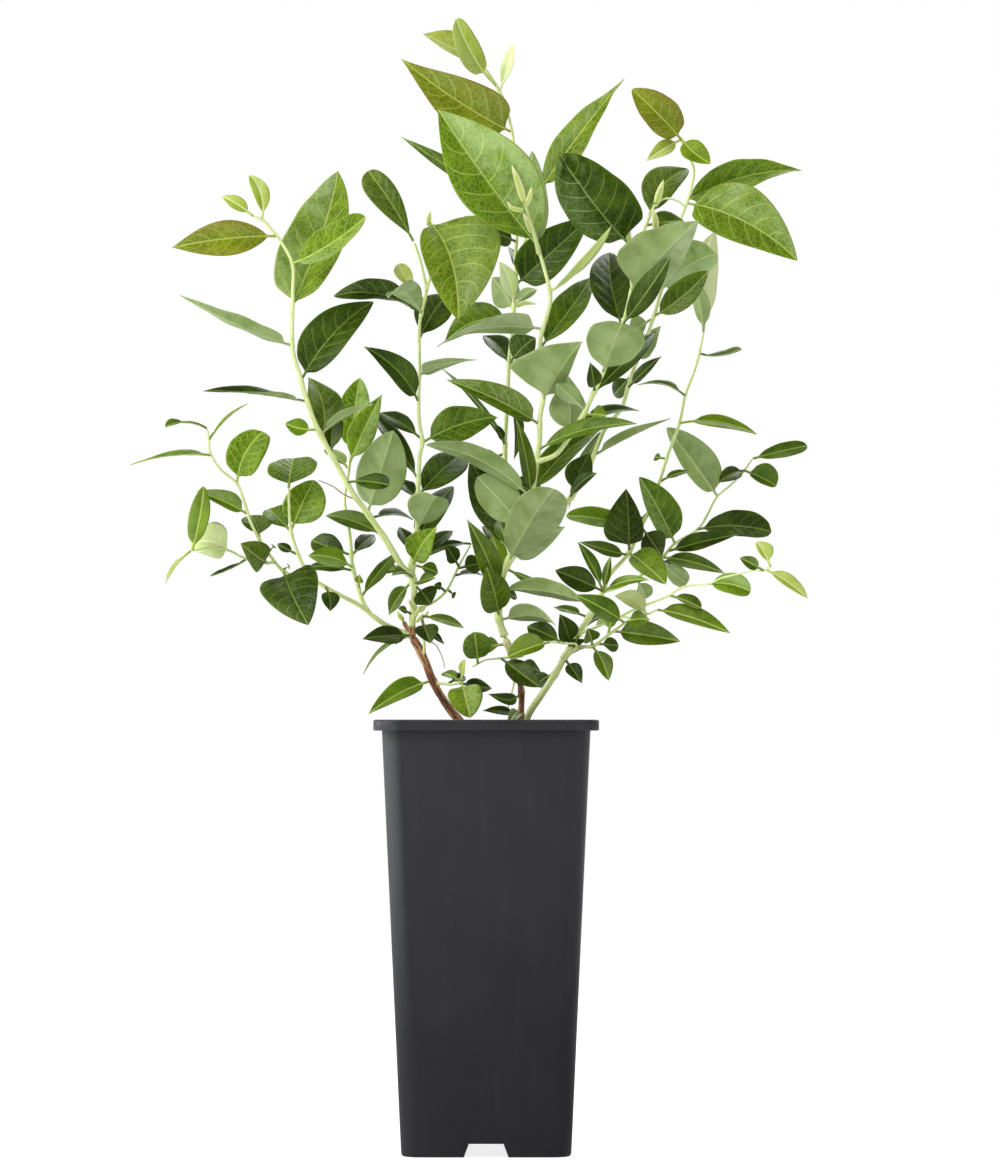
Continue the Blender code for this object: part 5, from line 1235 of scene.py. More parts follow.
class Graph:
    """Short hand for building a node tree."""

    def __init__(self, name: str) -> None:
        """Start a material with an empty Principled surface."""
        self.material = bpy.data.materials.new(name)
        self.material.use_nodes = True
        self.tree = self.material.node_tree
        self.shader = self.tree.nodes["Principled BSDF"]

    def node(self, kind: str, **settings: object) -> bpy.types.Node:
        """New node with its settings."""
        made = self.tree.nodes.new(kind)
        for key, value in settings.items():
            setattr(made, key, value)
        return made

    def feed(self, socket: Socket, value: object) -> None:
        """Link a socket to an output, or set its value."""
        if isinstance(value, Socket):
            self.tree.links.new(value, socket)
        else:
            socket.default_value = value

    def math(self, operation: str, *values: object, clamp: bool = False) -> Socket:
        """Math node."""
        made = self.node("ShaderNodeMath", operation=operation, use_clamp=clamp)
        for socket, value in zip(made.inputs, values):
            self.feed(socket, value)
        return made.outputs[0]

    def ramp(self, value: object, low: float, high: float, start: float = 0.0,
             end: float = 1.0) -> Socket:
        """Smooth change from start to end while value goes from low to high."""
        made = self.node("ShaderNodeMapRange", interpolation_type="SMOOTHSTEP")
        for socket, number in zip(made.inputs, (value, low, high, start, end)):
            self.feed(socket, number)
        return made.outputs[0]

    def mix(self, amount: object, first: object, second: object) -> Socket:
        """Mix of two colours, each a socket or 0 to 255 display values."""
        made = self.node("ShaderNodeMix", data_type="RGBA")
        for socket, value in zip((made.inputs[0], *made.inputs[6:8]), (amount, first, second)):
            self.feed(socket, linear(value) if isinstance(value, tuple) else value)
        return made.outputs[2]

    def noise(self, vector: object, scale: float, detail: float = 3.0,
              rough: float = 0.5) -> Socket:
        """Noise value of about 0 to 1."""
        made = self.node("ShaderNodeTexNoise")
        for key, value in (("Vector", vector), ("Scale", scale), ("Detail", detail),
                           ("Roughness", rough)):
            self.feed(made.inputs[key], value)
        return made.outputs[0]

    def place(self) -> Socket:
        """Place in the object's own space, in metres."""
        return self.node("ShaderNodeTexCoord").outputs["Object"]

    def moved(self, vector: object, offset: object) -> Socket:
        """Sum of two vectors."""
        made = self.node("ShaderNodeVectorMath", operation="ADD")
        for socket, value in zip(made.inputs, (vector, offset)):
            self.feed(socket, value)
        return made.outputs[0]

    def scaled(self, amount: object, share: object) -> Socket:
        """Product of two numbers."""
        return self.math("MULTIPLY", amount, share)

    def edges(self, vector: object, scale: float) -> Socket:
        """Distance to the nearest border between random cells."""
        made = self.node("ShaderNodeTexVoronoi", feature="DISTANCE_TO_EDGE")
        self.feed(made.inputs["Vector"], vector)
        self.feed(made.inputs["Scale"], scale)
        return made.outputs[0]

    def attribute(self, name: str) -> Tuple[Socket, ...]:
        """A stored vector, followed by its three parts."""
        vector = self.node("ShaderNodeAttribute", attribute_name=name).outputs["Vector"]
        parts = self.node("ShaderNodeSeparateXYZ")
        self.feed(parts.inputs[0], vector)
        return (vector, *parts.outputs)

    def bump(self, height: object, strength: float, distance: float) -> Socket:
        """Bumpy normal from a height; distance is in metres."""
        made = self.node("ShaderNodeBump")
        for key, value in (("Strength", strength), ("Distance", distance), ("Height", height)):
            self.feed(made.inputs[key], value)
        return made.outputs[0]

    def glowing(self, weight: float, radius: Colour, scale: float) -> None:
        """Let light spread under the surface, by a scale in metres for each of R, G and B."""
        self.surface(Subsurface_Weight=weight, Subsurface_Radius=radius, Subsurface_Scale=scale)

    def surface(self, **sockets: object) -> Material:
        """Feed the Principled shader; an underscore stands for a space."""
        for key, value in sockets.items():
            self.feed(self.shader.inputs[key.replace("_", " ")], value)
        return self.material


@dataclass(frozen=True)
class LeafFinish:
    """Finish of one kind of leaf, colours as 0 to 255 display values."""

    name: str
    top: Colour
    deep: Colour
    vein: Colour
    under: Colour
    edge: Colour
    edge_width: float = 0.06
    blush: float = 0.0
    gloss: float = 0.42
    net: float = 0.22
    glow: float = 0.12
    shine: float = 0.15
    # Colours of the painted sheen: paler patches that stand in for reflected light
    painted_sheen_colour: Colour = (150, 168, 118)
    sheen_vein: Colour = (196, 208, 156)
    sheen_under: Colour = (174, 188, 140)

    def build(self) -> Material:
        """Netted veins over a mottled blade, paler and matt below.

        The midrib is where the metric place across is near 0, the side veins
        follow the sculptor's vein curve, and the net is the border of random
        cells of about 3 mm.  Painted sheen: noisy patches on one half are mixed
        towards paler colours, standing in for reflected light.
        """
        g = Graph(self.name)
        _, u, t, side = g.attribute("blade")
        metric, across, _, number = g.attribute("metric")
        painted_sheen, plain = g.attribute("sheen")[1:3]
        aside = g.math("ABSOLUTE", u)
        spread = self._scatter(g, metric, number)
        gaps = g.edges(self._wobbled(g, spread), 380.0)
        lines = self._side_veins(g, u, aside, t)
        rib = g.ramp(g.math("ABSOLUTE", across), 0.00015, 0.00065, 1.0, 0.0)
        strong = g.ramp(plain, 0.0, 1.0, 1.0, 0.25)
        net = g.scaled(g.ramp(gaps, 0.02, 0.13, 1.0, 0.0), g.scaled(strong, self.net))
        side_veins = g.scaled(lines, g.scaled(strong, 0.72))
        marks = g.math("MAXIMUM", g.math("MAXIMUM", rib, side_veins), net)
        mottle = g.ramp(g.noise(spread, 90.0, 4.0), 0.35, 0.7)
        # Painted sheen: noisy patches on the sheen half, mixed towards a paler colour, stand in
        # for reflected light
        patch = g.ramp(g.noise(spread, 75.0, 4.0, 0.6), 0.34, 0.6, 0.15, 1.0)
        painted_sheen = g.math("MULTIPLY", painted_sheen, patch, clamp=True)
        tone = g.mix(painted_sheen, self._blushed(g, u, aside, spread, mottle), self.painted_sheen_colour)
        face = self._upper(g, tone, aside, painted_sheen, marks)
        back = self._lower(g, mottle, painted_sheen, g.math("ADD", rib, g.scaled(marks, 0.25), clamp=True))
        below = g.ramp(side, -0.05, 0.05, 1.0, 0.0)
        pillow = g.ramp(gaps, 0.0, 0.4, 0.0, 1.4)
        height = g.math("ADD", g.scaled(g.noise(spread, 300.0, 2.0), 1.2), pillow)
        height = g.scaled(g.math("SUBTRACT", height, lines), strong)
        rough = g.math("ADD", g.scaled(mottle, 0.1), self.gloss)
        g.glowing(self.glow, (0.5, 1.0, 0.15), 0.0012)
        return g.surface(Base_Color=self._varied(g, g.mix(below, face, back), number),
                         Specular_IOR_Level=self.shine,
                         Roughness=g.math("ADD", rough, g.scaled(below, 0.22)),
                         Normal=g.bump(height, 0.4, 0.00016))

    def _blushed(self, g: Graph, u: object, aside: object, spread: object,
                 mottle: object) -> Socket:
        """Mottled green, with a blush towards the margin where the leaf has one."""
        tone = g.mix(mottle, self.deep, self.top)
        if not self.blush:
            return tone
        reach = g.math("ADD", aside, g.scaled(g.noise(spread, 60.0), 0.3))
        share = g.scaled(g.ramp(u, -0.6, 0.3, 0.4, 1.0), self.blush)
        return g.mix(g.scaled(g.ramp(reach, 0.35, 1.2), share), tone, self.edge)

    def _upper(self, g: Graph, tone: object, aside: object, painted_sheen: object,
               marks: object) -> Socket:
        """Upper face: veins over its tone, inside a thin margin."""
        # Veins painted paler under the painted sheen
        face = g.mix(marks, tone, g.mix(g.scaled(painted_sheen, 0.6), self.vein, self.sheen_vein))
        rim = g.ramp(aside, 1.0 - self.edge_width, 1.0)
        return g.mix(g.scaled(rim, 0.75), face, self.edge)

    def _lower(self, g: Graph, mottle: object, painted_sheen: object, ribs: object) -> Socket:
        """Lower face: paler, with its ribs."""
        pale = g.mix(g.scaled(mottle, 0.45), self.under, self.top)
        back = g.mix(g.scaled(ribs, 0.6), pale, self.vein)
        # Lower face painted paler still under the painted sheen
        return g.mix(g.scaled(painted_sheen, 0.85), back, self.sheen_under)

    @staticmethod
    def _varied(g: Graph, colour: object, number: object) -> Socket:
        """Colour with the hue and brightness of the leaf's own number."""
        vary = g.node("ShaderNodeHueSaturation")
        g.feed(vary.inputs["Color"], colour)
        g.feed(vary.inputs["Hue"], g.ramp(number, 0.0, 1.0, 0.496, 0.507))
        g.feed(vary.inputs["Value"], g.ramp(number, 0.0, 1.0, 0.88, 1.12))
        return vary.outputs[0]

    @staticmethod
    def _scatter(g: Graph, metric: object, number: object) -> Socket:
        """Metric place, moved far aside by the leaf's own number."""
        shifted = g.node("ShaderNodeCombineXYZ")
        g.feed(shifted.inputs[2], g.scaled(number, 7.0))
        return g.moved(metric, shifted.outputs[0])

    @staticmethod
    def _wobbled(g: Graph, spread: object) -> Socket:
        """Place with small offsets, under a millimetre, that make the net irregular."""
        noise = g.node("ShaderNodeTexNoise")
        g.feed(noise.inputs["Vector"], spread)
        g.feed(noise.inputs["Scale"], 300.0)
        small = g.node("ShaderNodeVectorMath", operation="SCALE")
        g.feed(small.inputs[0], noise.outputs["Color"])
        g.feed(small.inputs["Scale"], 0.0016)
        return g.moved(spread, small.outputs[0])

    @staticmethod
    def _side_veins(g: Graph, u: object, aside: object, t: object) -> Socket:
        """Side veins: 7 (t - 0.2 |u|^1.4), half a step apart on the two sides."""
        bend = g.scaled(g.math("POWER", aside, 1.4), 0.2)
        phase = g.scaled(g.math("SUBTRACT", t, bend), 7.0)
        phase = g.math("ADD", phase, g.scaled(g.math("GREATER_THAN", u, 0.0), 0.5))
        off = g.math("PINGPONG", phase, 0.5)
        line = g.ramp(off, 0.01, 0.06, 1.0, 0.0)
        return g.scaled(line, g.ramp(aside, 1.0, 0.7))


@dataclass(frozen=True)
class StemFinish:
    """Finish of canes and shoots: smooth green skin that turns to bark below."""

    name: str
    green: Colour = (178, 194, 108)
    pale: Colour = (212, 221, 164)
    bark: Colour = (146, 84, 48)
    dark: Colour = (46, 25, 15)
    grey: Colour = (196, 156, 104)

    def build(self) -> Material:
        """Lengthwise streaks everywhere; flaking bark where the stem is old.

        The sculptor's "stem" value holds the place round the stem, the
        distance along it in metres and how woody it is.
        """
        g = Graph(self.name)
        _, around, along, wood = g.attribute("stem")
        strands = g.node("ShaderNodeCombineXYZ")
        g.feed(strands.inputs[0], g.math("COSINE", around))
        g.feed(strands.inputs[1], g.math("SINE", around))
        g.feed(strands.inputs[2], g.scaled(along, 42.0))
        streak = g.noise(strands.outputs[0], 2.6, 4.0, 0.6)
        flake = g.noise(strands.outputs[0], 6.0, 5.0, 0.65)
        skin = g.mix(g.ramp(streak, 0.35, 0.65), self.green, self.pale)
        old = g.mix(g.ramp(flake, 0.44, 0.55), self.dark, self.bark)
        old = g.mix(g.scaled(g.ramp(streak, 0.5, 0.59), 0.9), old, self.grey)
        place = g.place()
        edge = g.math("ADD", wood, g.scaled(g.noise(place, 240.0), 0.35))
        woody = g.ramp(edge, 0.5, 0.8)
        height = g.scaled(g.math("SUBTRACT", flake, 0.5), g.ramp(woody, 0, 1, 0.15, 1.0))
        g.glowing(0.12, (0.6, 1.0, 0.2), 0.001)
        return g.surface(Base_Color=g.mix(woody, skin, old), Specular_IOR_Level=0.6,
                         Roughness=g.ramp(woody, 0.0, 1.0, 0.48, 0.78),
                         Normal=g.bump(height, 0.6, 0.0006))


class StemSculptor:
    """Makes stems as tapered tubes with swollen nodes and rounded tips."""

    STEP = 0.0016
    SIDES = 14
    WAIST = 0.24
    NODE_SWELLING, NODE_REACH = 0.22, 0.0016
    JOIN_SWELLING, JOIN_REACH = 0.25, 0.004
    TIP_RADII, TIP_END = 1.6, 0.02
    RIB, RIBS, TWIST = 0.035, 3, 200.0       # twist in radians for each metre
    WOODY = 1.15
    LUMP = 0.00025

    def __init__(self, arrangement: Arrangement, plans: Dict[str, StemPlan]) -> None:
        """Keep the stems' plans and their leaves."""
        self.arrangement = arrangement
        self.plans = plans

    def add(self, surface: Surface, name: str) -> None:
        """Sweep one stem: its taper times a waist, swellings, a rounded tip and slight ribs.

        The "stem" value holds the angle round the stem, the distance along it
        and how woody it is.
        """
        plan = self.plans[name]
        route = smooth_route(self.arrangement.routes[name], self.STEP)
        steps = np.concatenate([[0.0], np.cumsum(np.linalg.norm(np.diff(route, axis=0), axis=1))])
        radius = self._radius(name, route, steps)
        angle = np.linspace(0, 2 * math.pi, self.SIDES, endpoint=False)
        wood = np.clip(self.WOODY - steps / plan.bark, 0, self.WOODY) if plan.bark else 0 * steps
        ribs = 1 + self.RIB * np.cos(self.RIBS * angle[None, :] + self.TWIST * steps[:, None])
        ways = round_ways(angle, *cross_frames(route))
        rings = route[:, None] + ways * (radius[:, None] * ribs)[..., None]
        lumps = wave_noise(rings, 130.0, 5) * self.LUMP * np.clip(wood, 0, 1)[:, None]
        rings = rings + ways * lumps[..., None]
        value = layered(ribs.shape, angle, steps[:, None], wood[:, None])
        surface.add_tube(rings, {"stem": value})

    def _radius(self, name: str, route: Array, steps: Array) -> Array:
        """Taper, with a waist on old stems, swellings at leaves and joins, and a rounded tip."""
        plan = self.plans[name]
        radius = np.linspace(plan.start_radius * MM, plan.end_radius * MM, len(route))
        if plan.bark:
            radius = radius * (1 - self.WAIST * np.sin(math.pi * steps / steps[-1]))
        for leaf in self.arrangement.leaves:
            if leaf.stem == name:
                near = np.linalg.norm(route - leaf.base, axis=1)
                swelling = self.NODE_SWELLING * np.exp(-(near / self.NODE_REACH) ** 2)
                radius = radius * (1 + swelling)
        if plan.parent:
            radius = radius * (1 + self.JOIN_SWELLING * np.exp(-(steps / self.JOIN_REACH) ** 2))
        left = (steps[-1] - steps) / (self.TIP_RADII * radius)
        return radius * np.sqrt(np.clip(left + self.TIP_END, 0, 1))


@dataclass(frozen=True)
class PlasticFinish:
    """Charcoal moulded plastic, faintly cloudy."""

    name: str = "pot_plastic"
    base: Colour = (23, 23, 27)
    cloud: Colour = (32, 32, 36)
    # Pale grey of the specks and flow marks, also used for the painted highlight and painted light
    dust_and_highlight: Colour = (66, 67, 70)
    corner_foot: float = 0.0333
    corner_slope: float = 0.0448

    def build(self) -> Material:
        """Clouds, specks, upright flow marks and a fine orange-peel grain.

        The foot is matt and the top glossier.  The top is painted lighter, as
        painted light from above, most of all in a painted highlight down the two
        corners on the left, and the left side is painted a little paler.
        """
        g = Graph(self.name)
        place = g.place()
        tall = g.node("ShaderNodeMapping")
        g.feed(tall.inputs["Vector"], place)
        tall.inputs["Scale"].default_value = (1.0, 1.0, 0.12)
        cloud = g.ramp(g.noise(place, 26.0, 5.0, 0.6), 0.35, 0.75)
        flow = g.noise(tall.outputs[0], 160.0, 3.0)
        speck = g.ramp(g.noise(place, 1900.0, 2.0), 0.62, 0.8)
        tone = g.mix(g.scaled(cloud, 0.7), self.base, self.cloud)
        tone = g.mix(g.scaled(g.ramp(flow, 0.5, 0.8), 0.08), tone, self.dust_and_highlight)
        tone = g.mix(g.scaled(speck, 0.2), tone, self.dust_and_highlight)
        parts = g.node("ShaderNodeSeparateXYZ")
        g.feed(parts.inputs[0], place)
        x, y, z = parts.outputs
        # Painted highlight down the two left corners, strongest near the top
        nearer = g.math("MINIMUM", g.math("ABSOLUTE", x), g.math("ABSOLUTE", y))
        inner = g.math("ADD", g.scaled(z, self.corner_slope), self.corner_foot)
        corner = g.ramp(g.math("SUBTRACT", nearer, inner), -0.001, 0.0035)
        corner = g.scaled(corner, g.ramp(z, 0.04, 0.19))
        corner = g.scaled(corner, g.ramp(x, -0.01, 0.01, 0.65, 0.1))
        # Painted light: the top painted lighter than the foot, and the left side paler
        painted_light = g.scaled(g.ramp(z, 0.0, 0.21), 0.12)
        painted_light = g.math("ADD", painted_light, g.ramp(x, -0.05, 0.05, 0.09, 0.0))
        tone = g.mix(g.math("ADD", painted_light, corner, clamp=True), tone, self.dust_and_highlight)
        grain = g.noise(place, 2300.0, 2.0)
        height = g.math("ADD", g.scaled(grain, 0.5), g.scaled(flow, 0.3))
        rough = g.ramp(g.math("ADD", cloud, flow), 0.4, 1.5, 0.38, 0.52)
        rough = g.math("ADD", rough, g.ramp(z, 0.0, 0.2, 0.2, 0.0))
        return g.surface(Base_Color=tone, Roughness=rough,
                         Specular_IOR_Level=g.ramp(z, 0.0, 0.19, 0.13, 0.21),
                         Normal=g.bump(height, 0.35, 0.00012))


class RoundedSquare:
    """Square with rounded corners, covered by a grid that follows its edge.

    The grid lines are straight and parallel over the cross-shaped middle.  In
    each corner square the grid is bent so that its border is the arc: a grid
    node p, q of the unit square goes to radius max(p, q) at the angle that the
    two make.
    """

    ARC = 8

    def __init__(self, straight: Array) -> None:
        """Keep the fixed lines, in metres, that run over the middle."""
        self.straight = straight
        self.size = len(straight) + 2 * self.ARC

    def grid(self, side: float, corner: float) -> Array:
        """Plan positions as (n, n, 2).

        Args:
            side: Full width of the square.
            corner: Radius of its corners.

        Returns:
            The grid, first index along X.
        """
        inner = side / 2 - corner
        reach = np.abs(self.straight).max()
        middle = np.where(np.abs(self.straight) >= reach - TINY, inner / reach, 1.0)
        middle = self.straight * middle
        steps = np.arange(1, self.ARC + 1) / self.ARC
        lines = np.concatenate([-inner - steps[::-1] * corner, middle, inner + steps * corner])
        x, y = np.meshgrid(lines, lines, indexing="ij")
        p = np.clip((np.abs(x) - inner) / corner, 0, None)
        q = np.clip((np.abs(y) - inner) / corner, 0, None)
        radius = np.maximum(p, q)
        ways = np.where(p >= q, q / np.maximum(p, TINY), 2 - p / np.maximum(q, TINY))
        angle = ways * math.pi / 4
        bent = (p > TINY) & (q > TINY)
        x = np.where(bent, np.sign(x) * (inner + corner * radius * np.cos(angle)), x)
        y = np.where(bent, np.sign(y) * (inner + corner * radius * np.sin(angle)), y)
        return np.stack([x, y], -1)

    def border(self) -> Tuple[Array, Array]:
        """Grid indices once round the edge, anticlockwise from above."""
        n = self.size - 1
        run = np.arange(n)
        i = np.concatenate([run, np.full(n, n), n - run, np.zeros(n, int)])
        j = np.concatenate([np.zeros(n, int), run, np.full(n, n), n - run])
        return i, j


@dataclass
class Pot:
    """Square tapered pot, in metres, with a turned-down rim and a raised cross under it."""

    height: float = 0.2119
    top: float = 0.1017
    bottom: float = 0.0827
    corner: float = 0.0095
    wall: float = 0.0016
    rim_width: float = 0.1094
    rim_height: float = 0.0053
    skirt: float = 0.0014
    channel: float = 0.0065
    channel_foot: float = 0.0216
    channel_roof: float = 0.0168
    foot_round: float = 0.0014
    inner_round: float = 0.001
    drain_radius: float = 0.0035
    drain_reach: float = 0.026
    ROUND = ((1, 0), (1, 1), (0, 1), (-1, 1), (-1, 0), (-1, -1), (0, -1), (1, -1))
    finish: PlasticFinish = PlasticFinish()

    def side(self, z: float, inset: float = 0.0) -> float:
        """Width of the tapered body at a height."""
        return self.bottom + (self.top - self.bottom) * z / self.height - 2 * inset

    def lines(self) -> Array:
        """Grid lines over the middle, close together at the channel's flanks."""
        roof, foot = self.channel_roof / 2, self.channel_foot / 2
        half = [0.0, 0.0035, 0.006, roof - 0.0006, roof, roof + 0.0006, foot - 0.0006, foot,
                foot + 0.0006, 0.015, 0.019, 0.0225, 0.026, 0.0295, 0.033]
        return np.array([-value for value in half[:0:-1]] + half)

    def arch(self, plan: Array, extra: float = 0.0) -> Array:
        """Height of the cross channel's roof: the larger of the two bars' profiles."""
        roof, foot = self.channel_roof / 2 + extra, self.channel_foot / 2 + extra
        across = np.abs(plan)
        bars = np.clip((foot - across) / (foot - roof), 0, 1)
        return self.channel * bars.max(-1)

    def square(self) -> RoundedSquare:
        """The grid that the floor's two skins share."""
        return RoundedSquare(self.lines())

    def hole_middles(self) -> List[Tuple[int, int]]:
        """Grid indices of the drain holes' middles: one central, four in the channel."""
        square = self.square()
        middle = square.size // 2
        step = int(np.searchsorted(square.straight, self.drain_reach - TINY)) + square.ARC - middle
        return [(middle, middle)] + [(middle + a * step, middle + b * step)
                                     for a, b in ((1, 0), (-1, 0), (0, 1), (0, -1))]

    def hole_cells(self) -> Array:
        """Grid cells that a drain hole takes away, four round each middle."""
        taken = np.zeros((self.square().size - 1,) * 2, bool)
        for i, j in self.hole_middles():
            taken[i - 1:i + 1, j - 1:j + 1] = True
        return taken

    def drained(self, plan: Array) -> Array:
        """Move the eight grid points round each drain hole's middle onto its circle."""
        plan = plan.copy()
        for i, j in self.hole_middles():
            for a, b in self.ROUND:
                away = np.array([a, b]) / math.hypot(a, b)
                plan[i + a, j + b] = plan[i, j] + self.drain_radius * away
        return plan

    def hole_wall(self, low: Array, high: Array, middle: Tuple[int, int]) -> Array:
        """Faces of one drain hole's wall, between the two skins of the floor."""
        i, j = middle
        rings = [np.array([skin[i + a, j + b] for a, b in self.ROUND]) for skin in (low, high)]
        return band(*rings)[:, TURNED]

    def build(self) -> List[Object]:
        """Make the pot as one closed surface: outside, rim, inside and floor."""
        square = self.square()
        i, j = square.border()
        foot_side = self.side(0, self.foot_round)
        low = self.drained(square.grid(foot_side, self.corner - self.foot_round))
        floor = np.dstack([low, self.arch(low)])
        in_side = self.side(self.wall, self.wall) - 2 * self.inner_round
        top = self.drained(square.grid(in_side, self.corner - self.wall - self.inner_round))
        inner = np.dstack([top, self.wall + self.arch(top, self.wall)])
        loops = [self._loop(square, *row) for row in self._profile()]
        points = np.concatenate([floor.reshape(-1, 3), *loops, inner.reshape(-1, 3)])
        count, around = square.size ** 2, len(i)
        index = np.arange(count).reshape(square.size, square.size)
        above = count + len(loops) * around + index
        rings = [index[i, j], *(count + np.arange(len(loops) * around).reshape(-1, around)),
                 above[i, j]]
        walls = [band(a, b) for a, b in zip(rings, rings[1:])]
        hole = self.hole_cells()
        bores = [self.hole_wall(index, above, middle) for middle in self.hole_middles()]
        parts = [cells(index)[~hole], *walls, cells(above)[~hole][:, TURNED], *bores]
        quads = np.concatenate([part.reshape(-1, 4) for part in parts])
        used, packed = np.unique(quads, return_inverse=True)
        surface = Surface()
        surface.add_quads(points[used], packed.reshape(quads.shape))
        pot = surface.make("pot_body", [self.finish.build()], smooth_angle=38.0)
        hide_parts("pot")
        return [pot]

    def _profile(self) -> List[Tuple[float, float, float, bool]]:
        """Side, corner, height and whether the foot's notch lifts each loop."""
        h, lip = self.height, self.height - self.rim_height
        outer, skirt = self.rim_width, self.rim_width - 2 * self.skirt
        rows = [(self.side(0, inset), self.corner - inset, z, True)
                for inset, z in ((0.0007, 0.0002), (0.0002, 0.0007), (0.0, 0.0016))]
        rows += [(self.side(z), self.corner, z, False)
                 for z in (0.012, 0.05, 0.1, 0.15, 0.19, h - 0.003, h - self.wall - 0.0004)]
        rows += [(self.side(h) + 0.0012, self.corner, h - self.wall, False),
                 (skirt - 0.0006, 0.0078, h - self.wall, False),
                 (skirt, 0.0076, h - self.wall - 0.0006, False),
                 (skirt, 0.0076, lip + 0.0003, False), (skirt + 0.0005, 0.0078, lip, False),
                 (outer - 0.0010, 0.0088, lip, False),
                 (outer - 0.0003, 0.009, lip + 0.0002, False),
                 (outer, 0.009, lip + 0.0006, False), (outer, 0.009, h - 0.0009, False),
                 (outer - 0.0005, 0.009, h - 0.0003, False), (outer - 0.0016, 0.0086, h, False)]
        rows += [(self.side(h, inset), self.corner - inset, z, False)
                 for inset, z in ((0.0010, h), (0.0014, h - 0.0002), (self.wall, h - 0.0007))]
        rows += [(self.side(z, self.wall), self.corner - self.wall, z, False)
                 for z in (0.19, 0.15, 0.1, 0.05, 0.014)]
        return rows + [(self.side(self.wall, self.wall), self.corner - self.wall, 0.0026, True),
                       (self.side(self.wall, self.wall + 0.0003), self.corner - self.wall, 0.0019,
                        True)]

    def _loop(self, square: RoundedSquare, side: float, corner: float, z: float,
              lift: bool) -> Array:
        """One loop of points; near the floor it rises over the channel's mouth."""
        plan = square.grid(side, corner)
        i, j = square.border()
        ring = plan[i, j]
        rise = self.arch(ring, self.wall if side < self.side(0) - 0.003 else 0.0) if lift else 0.0
        return np.column_stack([ring, np.full(len(ring), z) + rise])


class Scrap(Enum):
    """Kinds of small thing that grow or cling to the stems, by material slot."""

    BUD = "leaf_lime"
    STALK = "green_stem"
    THREAD = "cane_bark"


@dataclass(frozen=True)
class Sprig:
    """One bud, bare stalk or dry thread, drawn as it is seen from the front.

    Attributes:
        kind: What it is.
        stem: Stem that it grows from.
        points: Its middle line as (x, z) in mm, starting at the stem.
        thick: Largest thickness in mm.
        lean: How far its end lies in front of its stem, in mm.
        out: How far its start lies in front of its stem, in mm.
    """

    kind: Scrap
    stem: str
    points: Tuple[Tuple[float, float], ...]
    thick: float
    lean: float = 2.0
    out: float = 0.0


# Buds, bare stalks and dry threads, from the front
SPRIGS: Tuple[Sprig, ...] = (
    Sprig(Scrap.STALK, "shoot_centre", ((26, 446), (24, 454), (21, 464), (18, 474)), 2.3, 24.0),
    Sprig(Scrap.BUD, "shoot_centre", ((18.5, 472), (15.5, 482), (12.5, 490)), 3.8, 26.0, 23.5),
    Sprig(Scrap.BUD, "shoot_centre", ((19.5, 470), (21.3, 474), (22.3, 479)), 2.6, 26.0, 22.5),
    Sprig(Scrap.BUD, "shoot_centre", ((18, 467.5), (13, 468.5), (10, 472)), 2.4, 26.0, 22.0),
    Sprig(Scrap.BUD, "shoot_centre", ((22, 457), (20.7, 461), (18, 466.5)), 3.0, 23.0, 13.0),
    Sprig(Scrap.BUD, "shoot_right_inner", ((84, 471), (85.5, 476), (87.5, 482.5)), 3.6),
    Sprig(Scrap.BUD, "shoot_right_inner", ((83.6, 457.5), (83.6, 462.5), (82.3, 468)), 3.4, 3.5),
    Sprig(Scrap.BUD, "spur_right_inner", ((70.4, 451), (69.6, 456.5), (67.8, 463)), 3.4),
    Sprig(Scrap.BUD, "tip_left_tall", ((-28.6, 460), (-28.6, 463.5), (-27.8, 467.5)), 2.8),
    Sprig(Scrap.BUD, "shoot_centre", ((15, 420), (19, 421.6), (25, 421.2)), 2.4, 3.0),
    Sprig(Scrap.BUD, "stub_left", ((-41, 265), (-42.8, 267), (-44.2, 269.2)), 2.6, 4.5, 1.5),
    Sprig(Scrap.BUD, "shoot_left_tall", ((-35.5, 266), (-34.2, 268.5), (-33.6, 271.5)),
          1.9, 6.0, 3.0),
    Sprig(Scrap.BUD, "shoot_left_tall", ((-34.5, 264), (-33, 265.8), (-31.4, 268.3)),
          1.8, 6.0, 3.0),
    Sprig(Scrap.BUD, "shoot_left_tall", ((-33, 269), (-31, 270.5), (-29.6, 273.2)), 1.7, 5.0, 3.0),
    Sprig(Scrap.BUD, "shoot_left_tall", ((-31, 266), (-29.4, 268), (-28.6, 270)), 1.5, 5.0, 3.0),
    Sprig(Scrap.BUD, "shoot_left_tall", ((-36, 271), (-37.5, 273), (-38.4, 275.5)), 1.5, 5.0, 3.0),
    Sprig(Scrap.THREAD, "twig_left_outer",
          ((-158, 346.5), (-165, 345), (-172, 343), (-176, 341.5)), 0.7, 0.0),
    Sprig(Scrap.THREAD, "cane_centre", ((-27, 254), (-24.5, 252), (-21.6, 246), (-20.5, 241)),
          0.6, 1.0),
    Sprig(Scrap.THREAD, "leader_left", ((-66, 325), (-70.5, 327), (-76, 331), (-83, 334)),
          0.7, 3.0),
    Sprig(Scrap.STALK, "cane_centre", ((14, 236), (13, 231), (11.4, 225), (10.5, 221)), 1.0, 2.0),
    Sprig(Scrap.STALK, "shoot_right_inner",
          ((83.8, 469.5), (86, 472.4), (90, 473.4), (95, 472), (99, 468.5)), 1.3, 0.0),
)


@dataclass(frozen=True)
class DryFinish:
    """Dry brown fibre."""

    name: str = "dry_fibre"
    colour: Colour = (124, 96, 66)
    pale: Colour = (178, 150, 110)

    def build(self) -> Material:
        """Two browns in small patches."""
        g = Graph(self.name)
        slow = g.ramp(g.noise(g.place(), 300.0), 0.4, 0.6)
        return g.surface(Base_Color=g.mix(slow, self.colour, self.pale), Roughness=0.7)


